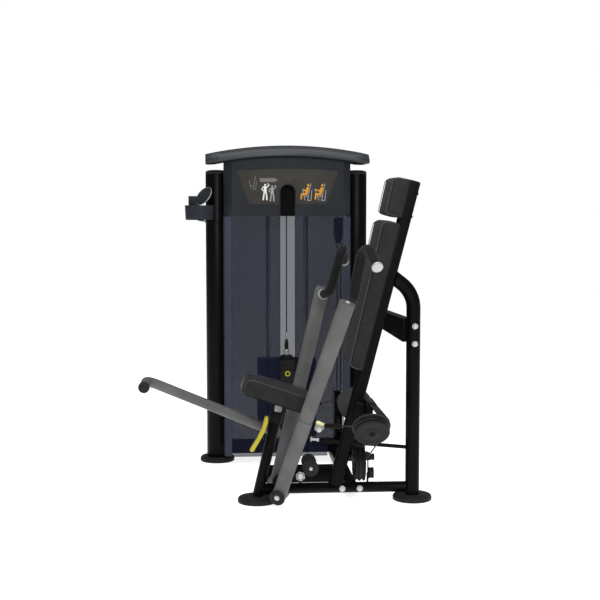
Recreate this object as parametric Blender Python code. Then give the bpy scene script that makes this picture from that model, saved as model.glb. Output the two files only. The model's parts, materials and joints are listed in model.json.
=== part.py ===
"""Chest press machine: a weight tower with an arched cover, and a seat station beside it.

Metres, +Z up.  The user sits facing -X, so the user's left is -Y and the right is +Y.
Every piece is placed in the tower's frame: X and Y are 0 on the centre line of the guide
rods, and Z is 0 on the floor.  One empty then moves the whole machine so that the part's
origin lies under the middle of its bounding box.
"""
import math

import bmesh
import bpy
from mathutils import Matrix, Vector

GAP = 0.0003                     # left between touching pieces

# ---- the part's origin, seen from the tower's frame
TOWER_SHIFT = Vector((0.0480, 0.6174, 0.0))

# ---- tower
UPRIGHT_X = 0.364
UPRIGHT_R = 0.054
UPRIGHT_WALL = 0.003
UPRIGHT_TOP = 1.497
CAP_TOP = 1.519
FOOT_R = 0.089
FOOT_TOP = 0.025
BEAM_HALF_X = 0.3095
BASE_BEAM_Z = (0.042, 0.105)
TOP_BEAM_Z = (1.31, 1.37)
COVER_HALF_X = 0.418
COVER_BOTTOM = 1.549
COVER_PEAK = 1.64
COVER_ARCH = 0.251               # drop of the arch per square metre from the middle
COVER_Y = (-0.15, 0.16)
COVER_BEVEL = (0.040, 0.028)     # depth and height of the sloped top edge
COVER_SKIRT = 0.054              # height of the cover from its arched lower edge to its top
COVER_CORNER = 0.020             # how far the tips are cut back at the front and at the back
HEADER_Z = (1.281, 1.600)
HEADER_FRONT_Y = -0.115
SHROUD_Y = 0.098
SHROUD_Z = (0.036, 1.2805)
SHEET = 0.004
NOTCH_HALF_X = 0.038
NOTCH_TOP = 1.442

# ---- weight stack
ROD_X = 0.097
ROD_R = 0.0105
ROD_HOLE_R = 0.0135
STEM_R = 0.0105
STEM_HOLE_R = 0.012
PLATE_HALF = (0.151, 0.07)
PLATE_PITCH = 0.0267
STACK_BOTTOM = 0.1347
RESTING_PLATES = 12
STACK_CHAMFER = 0.002
PIN_R = 0.0048
PIN_HOLE_R = 0.0056

# ---- cable run
CABLE_R = 0.003
SMALL_SHEAVE = (0.0405, 0.036)   # flange and groove radius
BIG_SHEAVE = (0.077, 0.070)
SMALL_WIDTH = 0.018
ARM_SHEAVE_WIDTH = 0.036
BASE_SHEAVE_WIDTH = 0.044
TOP_SHEAVE_Z = 1.43
SIDE_CABLE_X = 0.266
LOW_SHEAVE_Z = 0.205

# ---- seat station, whose middle plane is parallel to the tower's front
STATION_Y = -0.898
BASE_TUBE_Z = 0.060
BASE_TUBE_R = 0.024
FRONT_FOOT_X = -0.187
REAR_FOOT_X = 0.520
REAR_TUBE_R = 0.032
LEG_TOP = Vector((-0.0965, 0.0, 0.408))
LEG_R = 0.024
LEG_BORE_R = 0.0195
POST_SIZE = (0.032, 0.020)       # the flat seat post, along the station and across it
BACK_TUBE = (Vector((0.1655, 0.0, 0.0738)), Vector((0.516, 0.0, 1.441)))
BACK_TUBE_SIZE = (0.060, 0.050)
PAD_HALF_WIDTH = 0.150
HEAD_HALF_WIDTH = 0.125
SEAT_TILT = math.radians(17.5)
SEAT_SIZE = (0.315, 0.312, 0.070)
SEAT_TAPER = 0.35                # how much narrower the seat is at its nose
SEAT_TOP_CENTRE = Vector((-0.0935, 0.0, 0.5355))

# ---- press arms, given as left-side points; the two hang at slightly different angles
ARM_PIVOT = Vector((-0.094, -0.120, 0.061))
ARM_TOP = {"left": Vector((0.168, -0.470, 0.942)), "right": Vector((0.150, -0.470, 0.935))}
ARM_AXIS_HINT = Vector((-0.367, -0.897, -0.245))
ARM_LOWER = (0.062, 0.048)
ARM_UPPER = (0.069, 0.045)
ARM_SEAM = 0.37                  # fraction of the arm's length where the two sections meet
HANDLE_R = 0.0215
HANDLE_KNEE = {"left": 0.110, "right": 0.080}
HANDLE_CORNERS = {
    "left": (Vector((0.254, -0.322, 1.204)), Vector((0.290, -0.484, 1.086))),
    "right": (Vector((0.240, -0.322, 1.175)), Vector((0.256, -0.484, 1.062))),
}
CLEVIS_POINT = Vector((0.046, -0.250, 0.386))
ARM_SHEAVE = Vector((0.290, -0.325, 0.384))
ARM_SHEAVE_AXIS = Vector((0.0, -0.78, -0.62)).normalized()

# ---- foot lever
FOOT_TUBE_R = 0.0225
FOOT_PIVOT = Vector((-0.105, 0.050, 0.312))
CRANK_PIVOT = Vector((0.003, -0.052, 0.130))
ROLLER_CENTRE = Vector((0.049, -0.052, 0.167))
ROLLER_R = 0.036

PALETTE = {
    "black_paint": ((0.012, 0.012, 0.013), 0.38, 0.0),
    "cover_plastic": ((0.055, 0.060, 0.068), 0.42, 0.0),
    "header_plastic": ((0.040, 0.040, 0.042), 0.50, 0.0),
    "placard": ((0.045, 0.040, 0.036), 0.45, 0.0),
    "smoked_sheet": ((0.060, 0.080, 0.120), 0.20, 0.0),
    "chrome": ((0.75, 0.76, 0.78), 0.15, 1.0),
    "iron": ((0.020, 0.020, 0.021), 0.55, 0.0),
    "rubber": ((0.020, 0.020, 0.021), 0.75, 0.0),
    "yellow": ((0.60, 0.50, 0.06), 0.40, 0.0),
    "grey_paint": ((0.115, 0.115, 0.118), 0.42, 0.0),
    "upholstery": ((0.022, 0.022, 0.024), 0.55, 0.0),
    "cable": ((0.030, 0.030, 0.032), 0.45, 0.0),
    "sheave": ((0.025, 0.025, 0.027), 0.45, 0.0),
}


# ------------------------------------------------------------------ scene and object helpers
def clear_scene():
    for obj in list(bpy.data.objects):
        bpy.data.objects.remove(obj, do_unlink=True)


def make_material(name):
    color, roughness, metallic = PALETTE[name]
    mat = bpy.data.materials.get(name) or bpy.data.materials.new(name)
    mat.use_nodes = True
    bsdf = mat.node_tree.nodes["Principled BSDF"]
    bsdf.inputs["Base Color"].default_value = (*color, 1.0)
    bsdf.inputs["Roughness"].default_value = roughness
    bsdf.inputs["Metallic"].default_value = metallic
    return mat


def finish_mesh(name, bm, material, origin=(0, 0, 0)):
    """Turn a closed bmesh into an object whose origin is at the given point."""
    bmesh.ops.recalc_face_normals(bm, faces=bm.faces)
    bmesh.ops.translate(bm, verts=bm.verts, vec=-Vector(origin))
    mesh = bpy.data.meshes.new(name)
    bm.to_mesh(mesh)
    bm.free()
    mesh.shade_smooth()
    mesh.set_sharp_from_angle(angle=math.radians(35))
    mesh.materials.append(make_material(material))
    obj = bpy.data.objects.new(name, mesh)
    obj.location = origin
    obj.parent = MACHINE
    bpy.context.collection.objects.link(obj)
    return obj


def bake(obj):
    """Apply the object's modifiers, so that its mesh holds the finished solid."""
    bpy.context.view_layer.update()
    evaluated = obj.evaluated_get(bpy.context.evaluated_depsgraph_get())
    mesh = bpy.data.meshes.new_from_object(evaluated)
    old = obj.data
    obj.modifiers.clear()
    obj.data = mesh
    bpy.data.meshes.remove(old)
    mesh.name = obj.name


def combine(obj, others, operation):
    for other in others:
        mod = obj.modifiers.new(operation, "BOOLEAN")
        mod.operation = operation
        mod.solver = "EXACT"
        mod.object = other
        bake(obj)
        bpy.data.objects.remove(other, do_unlink=True)
    return obj


def cut(obj, *cutters):
    return combine(obj, cutters, "DIFFERENCE")


def weld(obj, *others):
    return combine(obj, others, "UNION")


def bevel(obj, width, segments=1):
    mod = obj.modifiers.new("edge", "BEVEL")
    mod.width = width
    mod.segments = segments
    mod.limit_method = "ANGLE"
    mod.angle_limit = math.radians(40)
    bake(obj)
    return obj


# ------------------------------------------------------------------ shapes
def box(name, low, high, material, edge=0.0):
    bm = bmesh.new()
    bmesh.ops.create_cube(bm, size=1.0)
    low, high = Vector(low), Vector(high)
    for vert in bm.verts:
        vert.co = Vector((low[i] + (vert.co[i] + 0.5) * (high[i] - low[i]) for i in range(3)))
    obj = finish_mesh(name, bm, material)
    return bevel(obj, edge) if edge else obj


def axis_frame(axis, hint=(0, 0, 1)):
    """Two unit vectors square to an axis; the first lies as near to the hint as it can."""
    axis = Vector(axis).normalized()
    first = Vector(hint) - axis * Vector(hint).dot(axis)
    if first.length < 1e-4:
        first = Vector((1, 0, 0)) - axis * axis.x
    first.normalize()
    return first, axis.cross(first)


def loft(name, rings, material, origin=(0, 0, 0)):
    """Join rings of points, all with the same count, and close both ends."""
    bm = bmesh.new()
    loops = [[bm.verts.new(point) for point in ring] for ring in rings]
    count = len(rings[0])
    for lower, upper in zip(loops, loops[1:]):
        for i in range(count):
            j = (i + 1) % count
            bm.faces.new((lower[i], lower[j], upper[j], upper[i]))
    bm.faces.new(reversed(loops[0]))
    bm.faces.new(loops[-1])
    return finish_mesh(name, bm, material, origin)


def turned(name, profile, centre, axis, material, segments=24, closed=False, origin=None):
    """Revolve (radius, height) points about an axis.  A closed profile makes a ring."""
    first, second = axis_frame(axis)
    centre, along = Vector(centre), Vector(axis).normalized()
    bm = bmesh.new()
    loops = []
    for radius, height in profile:
        if radius < 1e-6:
            loops.append([bm.verts.new(centre + along * height)])
            continue
        loops.append([bm.verts.new(centre + along * height
                                   + first * radius * math.cos(2 * math.pi * i / segments)
                                   + second * radius * math.sin(2 * math.pi * i / segments))
                      for i in range(segments)])
    pairs = list(zip(loops, loops[1:]))
    if closed:
        pairs.append((loops[-1], loops[0]))
    for lower, upper in pairs:
        for i in range(segments):
            j = (i + 1) % segments
            corners = []
            for vert in (lower[i % len(lower)], lower[j % len(lower)],
                         upper[j % len(upper)], upper[i % len(upper)]):
                if vert not in corners:
                    corners.append(vert)
            bm.faces.new(corners)
    return finish_mesh(name, bm, material, centre if origin is None else origin)


def rod(name, start, end, radius, material, segments=20, bore=0.0, origin=None):
    start, end = Vector(start), Vector(end)
    length = (end - start).length
    if bore:
        profile = [(radius, 0), (radius, length), (bore, length), (bore, 0)]
    else:
        profile = [(0, 0), (radius, 0), (radius, length), (0, length)]
    return turned(name, profile, start, end - start, material, segments, bool(bore), origin)


def round_corners(points, radius, steps=6):
    """Replace each inner corner of a polyline by an arc of the given radius."""
    points = [Vector(p) for p in points]
    path = [points[0]]
    for before, corner, after in zip(points, points[1:], points[2:]):
        back, ahead = (before - corner).normalized(), (after - corner).normalized()
        half = back.angle(ahead) / 2
        reach = min(radius / math.tan(half), 0.49 * (before - corner).length,
                    0.49 * (after - corner).length)
        real = reach * math.tan(half)
        middle = corner + (back + ahead).normalized() * (real / math.sin(half))
        one, two = corner + back * reach - middle, corner + ahead * reach - middle
        turn = one.angle(two)
        for i in range(steps + 1):
            t = i / steps
            path.append(middle + (one * math.sin((1 - t) * turn) + two * math.sin(t * turn))
                        / math.sin(turn))
    path.append(points[-1])
    return path


def oval(width, depth, segments=20, power=2.0):
    """Points of a rounded section; power 2 is an ellipse and larger is squarer."""
    points = []
    for i in range(segments):
        angle = 2 * math.pi * (i + 0.5) / segments
        c, s = math.cos(angle), math.sin(angle)
        points.append((math.copysign(abs(c) ** (2 / power), c) * width / 2,
                       math.copysign(abs(s) ** (2 / power), s) * depth / 2))
    return points


def sweep(name, path, sections, material, hint=(0, 1, 0), origin=(0, 0, 0)):
    """Carry a section along a path without twist; one section, or one for each point."""
    path = [Vector(p) for p in path]
    if not isinstance(sections[0], list):
        sections = [sections] * len(path)
    rings = []
    side = None
    for i, point in enumerate(path):
        ahead = (path[min(i + 1, len(path) - 1)] - path[max(i - 1, 0)]).normalized()
        if side is None:
            side = axis_frame(ahead, hint)[0]
        else:
            side = (side - ahead * side.dot(ahead)).normalized()
        other = ahead.cross(side)
        rings.append([point + side * u + other * v for u, v in sections[i]])
    return loft(name, rings, material, origin)


def extruded(name, outline, axes, start, end, material, origin=(0, 0, 0)):
    """Extrude a closed 2D outline; axes names its two directions, such as 'XZ'."""
    index = {"X": 0, "Y": 1, "Z": 2}
    a, b = index[axes[0]], index[axes[1]]
    c = 3 - a - b
    rings = []
    for level in (start, end):
        ring = []
        for u, v in outline:
            point = [0.0, 0.0, 0.0]
            point[a], point[b], point[c] = u, v, level
            ring.append(point)
        rings.append(ring)
    return loft(name, rings, material, origin)


def thick_line(points, thickness):
    """Outline of a sheet: a polyline in the plane, offset to one side and closed."""
    points = [Vector(p) for p in points]
    offset = []
    for i, point in enumerate(points):
        before = (point - points[i - 1]).normalized() if i else None
        after = (points[i + 1] - point).normalized() if i + 1 < len(points) else None
        along = (before + after).normalized() if before and after else (before or after)
        normal = Vector((-along.y, along.x))
        reach = thickness / (normal.dot(Vector((-after.y, after.x))) if before and after else 1.0)
        offset.append(point + normal * reach)
    return [tuple(p) for p in points] + [tuple(p) for p in reversed(offset)]


def station(x, y, z):
    """A point of the seat station, with y counted from its middle plane."""
    return Vector((x, STATION_Y + y, z))


def mirrored(point, side):
    """The left side's point as it is, or its mirror image on the right."""
    return Vector((point[0], point[1] if side == "left" else -point[1], point[2]))


# ------------------------------------------------------------------ tower frame
def build_tower_frame():
    foot = [(0, 0), (FOOT_R - 0.003, 0), (FOOT_R, 0.003), (FOOT_R, FOOT_TOP - 0.007),
            (FOOT_R - 0.006, FOOT_TOP), (0, FOOT_TOP)]
    cap = [(0, GAP), (UPRIGHT_R, GAP), (UPRIGHT_R, 0.010), (UPRIGHT_R - 0.004, 0.016),
           (UPRIGHT_R - 0.020, 0.0205), (0, CAP_TOP - UPRIGHT_TOP)]
    for side, x in (("left", -UPRIGHT_X), ("right", UPRIGHT_X)):
        turned("tower_foot_" + side, foot, (x, 0, 0), (0, 0, 1), "rubber", 28)
        rod("tower_upright_" + side, (x, 0, FOOT_TOP + GAP), (x, 0, UPRIGHT_TOP), UPRIGHT_R,
            "black_paint", 28, bore=UPRIGHT_R - UPRIGHT_WALL)
        turned("upright_cap_" + side, cap, (x, 0, UPRIGHT_TOP), (0, 0, 1), "rubber", 28)
    box("tower_base_beam", (-BEAM_HALF_X, -0.04, BASE_BEAM_Z[0]),
        (BEAM_HALF_X, 0.04, BASE_BEAM_Z[1]), "black_paint", 0.004)
    beam = box("tower_top_beam", (-BEAM_HALF_X, -0.03, TOP_BEAM_Z[0]),
               (BEAM_HALF_X, 0.03, TOP_BEAM_Z[1]), "black_paint", 0.004)
    for x in (0.0, SIDE_CABLE_X):
        cut(beam, rod("hole", (x, 0, TOP_BEAM_Z[0] - 0.02), (x, 0, TOP_BEAM_Z[1] + 0.02), 0.009,
                      "iron", 14))


def arch_height(x):
    return COVER_PEAK - COVER_ARCH * x * x


def cover_solid(name, inset, lower):
    """The arched cover's solid: inset draws it in all round, and lower moves its underside."""
    half_x = COVER_HALF_X - inset
    depth, height = COVER_BEVEL
    rings = []
    steps = 20
    for i in range(steps + 1):
        x = -half_x + 2 * half_x * i / steps
        top = arch_height(x) - inset
        bottom = max(arch_height(x) - COVER_SKIRT, COVER_BOTTOM) - lower
        tip = COVER_CORNER * max(0.0, 1 - (half_x - abs(x)) / 0.042)
        front, back = COVER_Y[0] + inset + tip, COVER_Y[1] - inset - tip
        rings.append([(x, front, bottom), (x, front, top - height), (x, front + depth, top),
                      (x, back - depth, top), (x, back, top - height), (x, back, bottom)])
    return loft(name, rings, "cover_plastic")


def build_top_cover():
    shell = cover_solid("top_cover", 0.0, 0.0)
    cut(shell, cover_solid("inside", SHEET, 0.01))


def notch(name, half_x, top, y0, y1):
    """An upright slot with a round top."""
    steps = 8
    outline = [(-half_x, HEADER_Z[0] - 0.01), (half_x, HEADER_Z[0] - 0.01)]
    outline += [(half_x * math.cos(math.pi * i / steps),
                 top - half_x + half_x * math.sin(math.pi * i / steps)) for i in range(steps + 1)]
    return extruded(name, outline, "XZ", y0, y1, "iron")


def build_header():
    front = HEADER_FRONT_Y
    plan = [(-0.326, -0.030), (-0.326, -0.066), (-0.285, front), (0.285, front),
            (0.326, -0.066), (0.326, -0.030)]
    clear = UPRIGHT_R + GAP + 0.001
    header = extruded("header_panel", thick_line(plan, SHEET), "XY", *HEADER_Z, "header_plastic")
    posts = [rod("post", (x, 0, 1.2), (x, 0, 1.6), clear, "iron", 28) for x in (-UPRIGHT_X, UPRIGHT_X)]
    cut(header, notch("slot", NOTCH_HALF_X, NOTCH_TOP, front - 0.02, front + 0.02), *posts,
        cover_solid("cover", -GAP, GAP))
    plate = [(-0.2015, 1.352), (-0.193, 1.344), (0.193, 1.344), (0.2015, 1.352), (0.262, 1.5135),
             (0.131, 1.5206), (0.0, 1.523), (-0.131, 1.5206), (-0.262, 1.5135)]
    placard = extruded("header_placard", plate, "XZ", front - GAP, front - 0.003, "placard")
    cut(placard, notch("slot", NOTCH_HALF_X + 0.004, NOTCH_TOP + 0.004, front - 0.02, front + 0.02))


def build_shrouds():
    bend = [(NOTCH_HALF_X, -SHROUD_Y), (0.298, -SHROUD_Y), (0.319, -0.090), (0.326, -0.070)]
    for side, sign in (("left", -1), ("right", 1)):
        plan = [(sign * x, y) for x, y in bend]
        shroud = extruded("front_shroud_" + side, thick_line(plan, sign * SHEET), "XY", *SHROUD_Z,
                          "smoked_sheet")
    cut(shroud, box("cable_way", (0.238, -0.12, 0.03), (0.35, -0.04, 0.375), "iron"),
        box("beam_way", (0.208, -0.12, 0.03), (0.34, -0.05, 0.092), "iron"))
    back = [(0.312, 0.058), (0.292, 0.084), (0.255, SHROUD_Y), (-0.255, SHROUD_Y),
            (-0.292, 0.084), (-0.312, 0.058)]
    extruded("rear_shroud", thick_line(back, SHEET), "XY", SHROUD_Z[0], 1.46, "smoked_sheet")


# ------------------------------------------------------------------ weight stack
def plate_stack(name, bottom, count, boss=None, side_hole=None):
    """A pile of plates as one solid, with a groove at each joint, bored for rods and stem."""
    half_x, half_y = PLATE_HALF
    rings = []
    for i in range(count):
        low = bottom + i * PLATE_PITCH
        high = low + PLATE_PITCH
        for inset, z in ((STACK_CHAMFER, low), (0, low + STACK_CHAMFER),
                         (0, high - STACK_CHAMFER), (STACK_CHAMFER, high)):
            if i and z == low:
                continue
            z = min(z, bottom + count * PLATE_PITCH - GAP)
            x, y = half_x - inset, half_y - inset
            rings.append([(-x, -y, z), (x, -y, z), (x, y, z), (-x, y, z)])
    stack = loft(name, rings, "iron")
    if boss:
        weld(stack, boss)
    if side_hole:
        cut(stack, side_hole)
    for x, radius in ((-ROD_X, ROD_HOLE_R), (ROD_X, ROD_HOLE_R), (0, STEM_HOLE_R)):
        cut(stack, rod("hole", (x, 0, bottom - 0.02), (x, 0, bottom + count * PLATE_PITCH + 0.06),
                       radius, "iron", 16))
    return stack


def pin_hole(z, depth):
    return rod("hole", (0, -0.2, z), (0, depth, z), PIN_HOLE_R, "iron", 14)


def build_weight_stack():
    base_top = BASE_BEAM_Z[1]
    for side, x in (("left", -ROD_X), ("right", ROD_X)):
        rod("guide_rod_" + side, (x, 0, base_top + GAP), (x, 0, TOP_BEAM_Z[0] - GAP), ROD_R,
            "chrome", 16)
        rod("stack_bumper_" + side, (x, 0, base_top + GAP), (x, 0, STACK_BOTTOM - GAP), 0.024,
            "rubber", 20, bore=ROD_R + GAP)
    plate_stack("weight_stack", STACK_BOTTOM, RESTING_PLATES)
    lifted = STACK_BOTTOM + RESTING_PLATES * PLATE_PITCH
    pin_z = lifted + 0.5 * PLATE_PITCH
    plate_stack("weight_plate_2", lifted, 1, side_hole=pin_hole(pin_z, -0.002))
    plate_stack("weight_plate_1", lifted + PLATE_PITCH, 1)
    head_z = lifted + 2 * PLATE_PITCH
    boss = turned("boss", [(0, 0.010), (0.034, 0.010), (0.034, 0.038), (0.026, 0.046), (0, 0.046)],
                  (0, 0, head_z), (0, 0, 1), "iron", 18)
    plate_stack("weight_top_plate", head_z, 1, boss=boss)
    stem_top = head_z + 0.075
    stem = rod("selector_stem", (0, 0, STACK_BOTTOM + 0.004), (0, 0, stem_top), STEM_R, "chrome", 14)
    cut(stem, pin_hole(pin_z, 0.03))
    knob = [(0, 0), (PIN_R, 0), (PIN_R, 0.086), (0.0125, 0.088), (0.0135, 0.094), (0.0135, 0.104),
            (0.010, 0.110), (0, 0.111)]
    turned("selector_pin", knob, (0, 0.0095, pin_z), (0, -1, 0), "yellow", 14)
    cable_top = TOP_SHEAVE_Z
    rod("lift_cable", (0, 0, stem_top + GAP), (0, 0, cable_top), CABLE_R, "cable", 8)


# ------------------------------------------------------------------ cable run
def sheave(name, centre, axis, size, width, grooves=1):
    """A wheel with one groove or two, and a bore for its bolt."""
    rim, groove = size
    half, pitch, flange = width / 2, width / grooves, 0.004
    profile = [(0.006, -half)]
    for i in range(grooves):
        low, high = -half + i * pitch, -half + (i + 1) * pitch
        floor = 0.25 * pitch
        profile += [(rim, low + flange * i / 2), (rim, low + flange),
                    (groove, low + pitch / 2 - floor / 2), (groove, low + pitch / 2 + floor / 2),
                    (rim, high - flange)]
    profile += [(rim, half), (0.006, half)]
    return turned(name, profile, centre, axis, "sheave", 24, True)


def quarter(centre, start, end, steps=5):
    """Points of a quarter circle from centre + start to centre + end."""
    centre, start, end = Vector(centre), Vector(start), Vector(end)
    angles = [0.5 * math.pi * i / steps for i in range(steps + 1)]
    return [centre + start * math.cos(a) + end * math.sin(a) for a in angles]


def build_cable_run():
    reach = SMALL_SHEAVE[1] + CABLE_R + GAP
    top_x, side_x = reach, SIDE_CABLE_X - reach
    low_centre = (SIDE_CABLE_X, -reach, LOW_SHEAVE_Z)
    sheave("top_pulley", (top_x, 0, TOP_SHEAVE_Z), (0, 1, 0), SMALL_SHEAVE, SMALL_WIDTH)
    sheave("side_pulley", (side_x, 0, TOP_SHEAVE_Z), (0, 1, 0), SMALL_SHEAVE, SMALL_WIDTH)
    sheave("lower_pulley", low_centre, (1, 0, 0), SMALL_SHEAVE, SMALL_WIDTH)
    base_centre = station(0.275, 0.0, 0.168)
    sheave("base_pulley", base_centre, (1, 0, 0), BIG_SHEAVE, BASE_SHEAVE_WIDTH, 2)
    arrive = base_centre + Vector((0.25 * BASE_SHEAVE_WIDTH, 0.012, BIG_SHEAVE[1] + CABLE_R + 0.0012))
    path = [(top_x - 0.01, 0, TOP_SHEAVE_Z + reach)]
    path += quarter((side_x, 0, TOP_SHEAVE_Z), (0, 0, reach), (reach, 0, 0))
    path += quarter(low_centre, (0, reach, 0), (0, 0, -reach))
    path += [arrive]
    section = oval(2 * CABLE_R, 2 * CABLE_R, 8)
    sweep("drive_cable", path, section, "cable", hint=(0, 1, 0))
    guide = box("cable_guide", (0.249, -0.024, 1.175), (0.2925, 0.024, 1.272), "black_paint", 0.003)
    cut(guide, rod("hole", (SIDE_CABLE_X, 0, 1.1), (SIDE_CABLE_X, 0, 1.3), 0.006, "iron", 12))
    plan = [(SIDE_CABLE_X - 0.016, -0.082), (SIDE_CABLE_X - 0.016, 0.014),
            (SIDE_CABLE_X + 0.016, 0.014), (SIDE_CABLE_X + 0.016, -0.082)]
    extruded("lower_pulley_bracket", thick_line(plan, SHEET), "XY", BASE_BEAM_Z[1] + GAP, 0.36,
             "black_paint")


# ------------------------------------------------------------------ seat station frame
def build_station_frame():
    foot = [(0, 0), (FOOT_R - 0.003, 0), (FOOT_R, 0.003), (FOOT_R, FOOT_TOP - 0.007),
            (FOOT_R - 0.006, FOOT_TOP), (0, FOOT_TOP)]
    turned("seat_foot_front", foot, station(FRONT_FOOT_X, 0, 0), (0, 0, 1), "rubber", 28)
    turned("seat_foot_rear", foot, station(REAR_FOOT_X, 0, 0), (0, 0, 1), "rubber", 28)

    rear = round_corners([station(REAR_FOOT_X, 0, FOOT_TOP + GAP), station(REAR_FOOT_X, 0, 0.945),
                          station(0.410, 0, 1.031)], 0.15, 8)
    rear_tube = sweep("rear_upright", rear, oval(2 * REAR_TUBE_R, 2 * REAR_TUBE_R, 20),
                      "black_paint")
    low, high = station(*BACK_TUBE[0]), station(*BACK_TUBE[1])
    back = sweep("back_tube", [low, high], oval(*reversed(BACK_TUBE_SIZE), 20, 5.0), "black_paint")
    cut(back, rod("cope", station(0, 0, BASE_TUBE_Z), station(0.4, 0, BASE_TUBE_Z),
                  BASE_TUBE_R + GAP, "iron", 20))
    reach = (BACK_TUBE_SIZE[0] / 2 + GAP) / math.cos(math.atan2(high.x - low.x, high.z - low.z))
    face = [(low.x + reach, low.z), (high.x + reach, high.z), (high.x - 0.3, high.z),
            (low.x - 0.3, low.z)]
    cut(rear_tube, extruded("face", face, "XZ", low.y - 0.1, low.y + 0.1, "iron"))

    base = rod("base_frame", station(-0.165, 0, BASE_TUBE_Z),
               station(REAR_FOOT_X - REAR_TUBE_R - GAP, 0, BASE_TUBE_Z), BASE_TUBE_R,
               "black_paint", 20)
    weld(base, rod("cross", station(ARM_PIVOT.x, -0.068, ARM_PIVOT.z),
                   station(ARM_PIVOT.x, 0.068, ARM_PIVOT.z), 0.021, "black_paint", 20))

    leg_foot = station(FRONT_FOOT_X, 0, FOOT_TOP)
    leg_top = station(*LEG_TOP)
    along = (leg_top - leg_foot).normalized()
    start = leg_foot + along * (LEG_R * along.x / along.z + 0.001)
    leg = rod("front_leg", start, leg_top, LEG_R, "black_paint", 20)
    cut(base, rod("cope", start, leg_top, LEG_R + GAP, "iron", 20))
    cut(leg, rod("bore", leg_top - along * 0.26, leg_top + along * 0.05, LEG_BORE_R, "iron", 20))

    box("side_base_beam", (-0.14, -0.712, 0.040), (0.2147, -0.664, 0.118), "black_paint", 0.004)
    box("lower_link_beam", (0.215, STATION_Y + BASE_TUBE_R + GAP, 0.038), (0.265, -0.0403, 0.084),
        "black_paint", 0.004)
    build_upper_link()


def build_upper_link():
    """A beam from the rear upright back to the tower, deeper at the station's end."""
    ends = ((station(0.500, 0.034, 0.772), 0.052, 0.106), (Vector((0.397, -0.058, 0.800)), 0.044, 0.064))
    rings = []
    for centre, wide, tall in ends:
        rings.append([centre + Vector((sx * wide / 2, 0, sz * tall / 2))
                      for sx, sz in ((-1, -1), (1, -1), (1, 1), (-1, 1))])
    beam = loft("upper_link_beam", rings, "black_paint")
    bevel(beam, 0.003)
    posts = [rod("post", (UPRIGHT_X, 0, 0.7), (UPRIGHT_X, 0, 0.9), UPRIGHT_R + GAP, "iron", 28),
             rod("post", station(REAR_FOOT_X, 0, 0.6), station(REAR_FOOT_X, 0, 0.95),
                 REAR_TUBE_R + GAP, "iron", 20)]
    cut(beam, *posts)


# ------------------------------------------------------------------ pads and seat
def build_back_pads():
    """Back and head cushions: side outlines drawn out across the width."""
    back = [(0.211, 0.630), (0.361, 1.283), (0.4365, 1.262), (0.2695, 0.609)]
    head = [(0.372, 1.299), (0.4095, 1.470), (0.484, 1.455), (0.4425, 1.280)]
    for name, outline, half, edge in (("back_pad", back, PAD_HALF_WIDTH, 0.014),
                                      ("head_pad", head, HEAD_HALF_WIDTH, 0.014)):
        pad = extruded(name, outline, "XZ", STATION_Y - half, STATION_Y + half, "upholstery")
        bevel(pad, edge, 2)


def build_seat():
    along = Vector((math.cos(SEAT_TILT), 0, -math.sin(SEAT_TILT)))
    normal = Vector((math.sin(SEAT_TILT), 0, math.cos(SEAT_TILT)))
    length, width, thick = SEAT_SIZE
    top = station(*SEAT_TOP_CENTRE)

    def slab(name, long, wide, upper, lower, material, corner, taper=0.0):
        outline = []
        for sx, sy, first in ((1, 1, 0.0), (-1, 1, 0.5), (-1, -1, 1.0), (1, -1, 1.5)):
            for i in range(4):
                a = math.pi * (first + i / 6)
                outline.append((sx * (long / 2 - corner) + corner * math.cos(a),
                                sy * (wide / 2 - corner) + corner * math.sin(a)))
        outline = [(u, v * (1 - taper * (0.5 - u / long))) for u, v in outline]
        rings = [[top + along * u + Vector((0, v, 0)) + normal * level for u, v in outline]
                 for level in (lower, upper)]
        return loft(name, rings, material)

    pad = slab("seat_pad", length, width, 0.0, -thick, "upholstery", 0.03, SEAT_TAPER)
    bevel(pad, 0.012, 2)
    slab("seat_plate", 0.18, 0.12, -thick - GAP, -thick - 0.006, "black_paint", 0.01)
    leg_foot = station(FRONT_FOOT_X, 0, FOOT_TOP)
    leg_top = station(*LEG_TOP)
    rise = (leg_top - leg_foot).normalized()
    plate_level = (top - normal * (thick + 0.0064) - leg_top).dot(normal) / rise.dot(normal)
    upper_end = leg_top + rise * plate_level
    post = sweep("seat_post", [leg_top - rise * 0.235, upper_end],
                 [(POST_SIZE[1] / 2 * sx, POST_SIZE[0] / 2 * sy)
                  for sx, sy in ((-1, -1), (1, -1), (1, 1), (-1, 1))], "chrome", hint=(0, 1, 0))
    trim = box("trim", (-0.2, -0.1, 0.0), (0.2, 0.1, 0.1), "iron")
    trim.matrix_basis = Matrix.Translation(upper_end) @ Matrix.Rotation(SEAT_TILT, 4, "Y")
    cut(post, trim)
    build_seat_lever()


def build_seat_lever():
    """A flat paddle that hangs beside the leg; its pivot is just under the seat plate."""
    pivot = station(-0.148, -0.058, 0.395)
    outline = [(-0.154, 0.403), (-0.140, 0.403), (-0.141, 0.374), (-0.157, 0.328), (-0.205, 0.2455),
               (-0.214, 0.243), (-0.2245, 0.250), (-0.190, 0.306), (-0.168, 0.351)]
    lever = extruded("seat_lever", outline, "XZ", STATION_Y - 0.072, STATION_Y - 0.044, "yellow",
                     pivot)
    bevel(lever, 0.003)


# ------------------------------------------------------------------ press arms
def arm_axis(side):
    """The hinge axis, square to the arm; a positive turn brings the handle forward."""
    along = ARM_TOP[side] - ARM_PIVOT
    axis = ARM_AXIS_HINT - along * ARM_AXIS_HINT.dot(along) / along.length_squared
    axis.normalize()
    return axis if side == "left" else Vector((-axis.x, axis.y, -axis.z))


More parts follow.
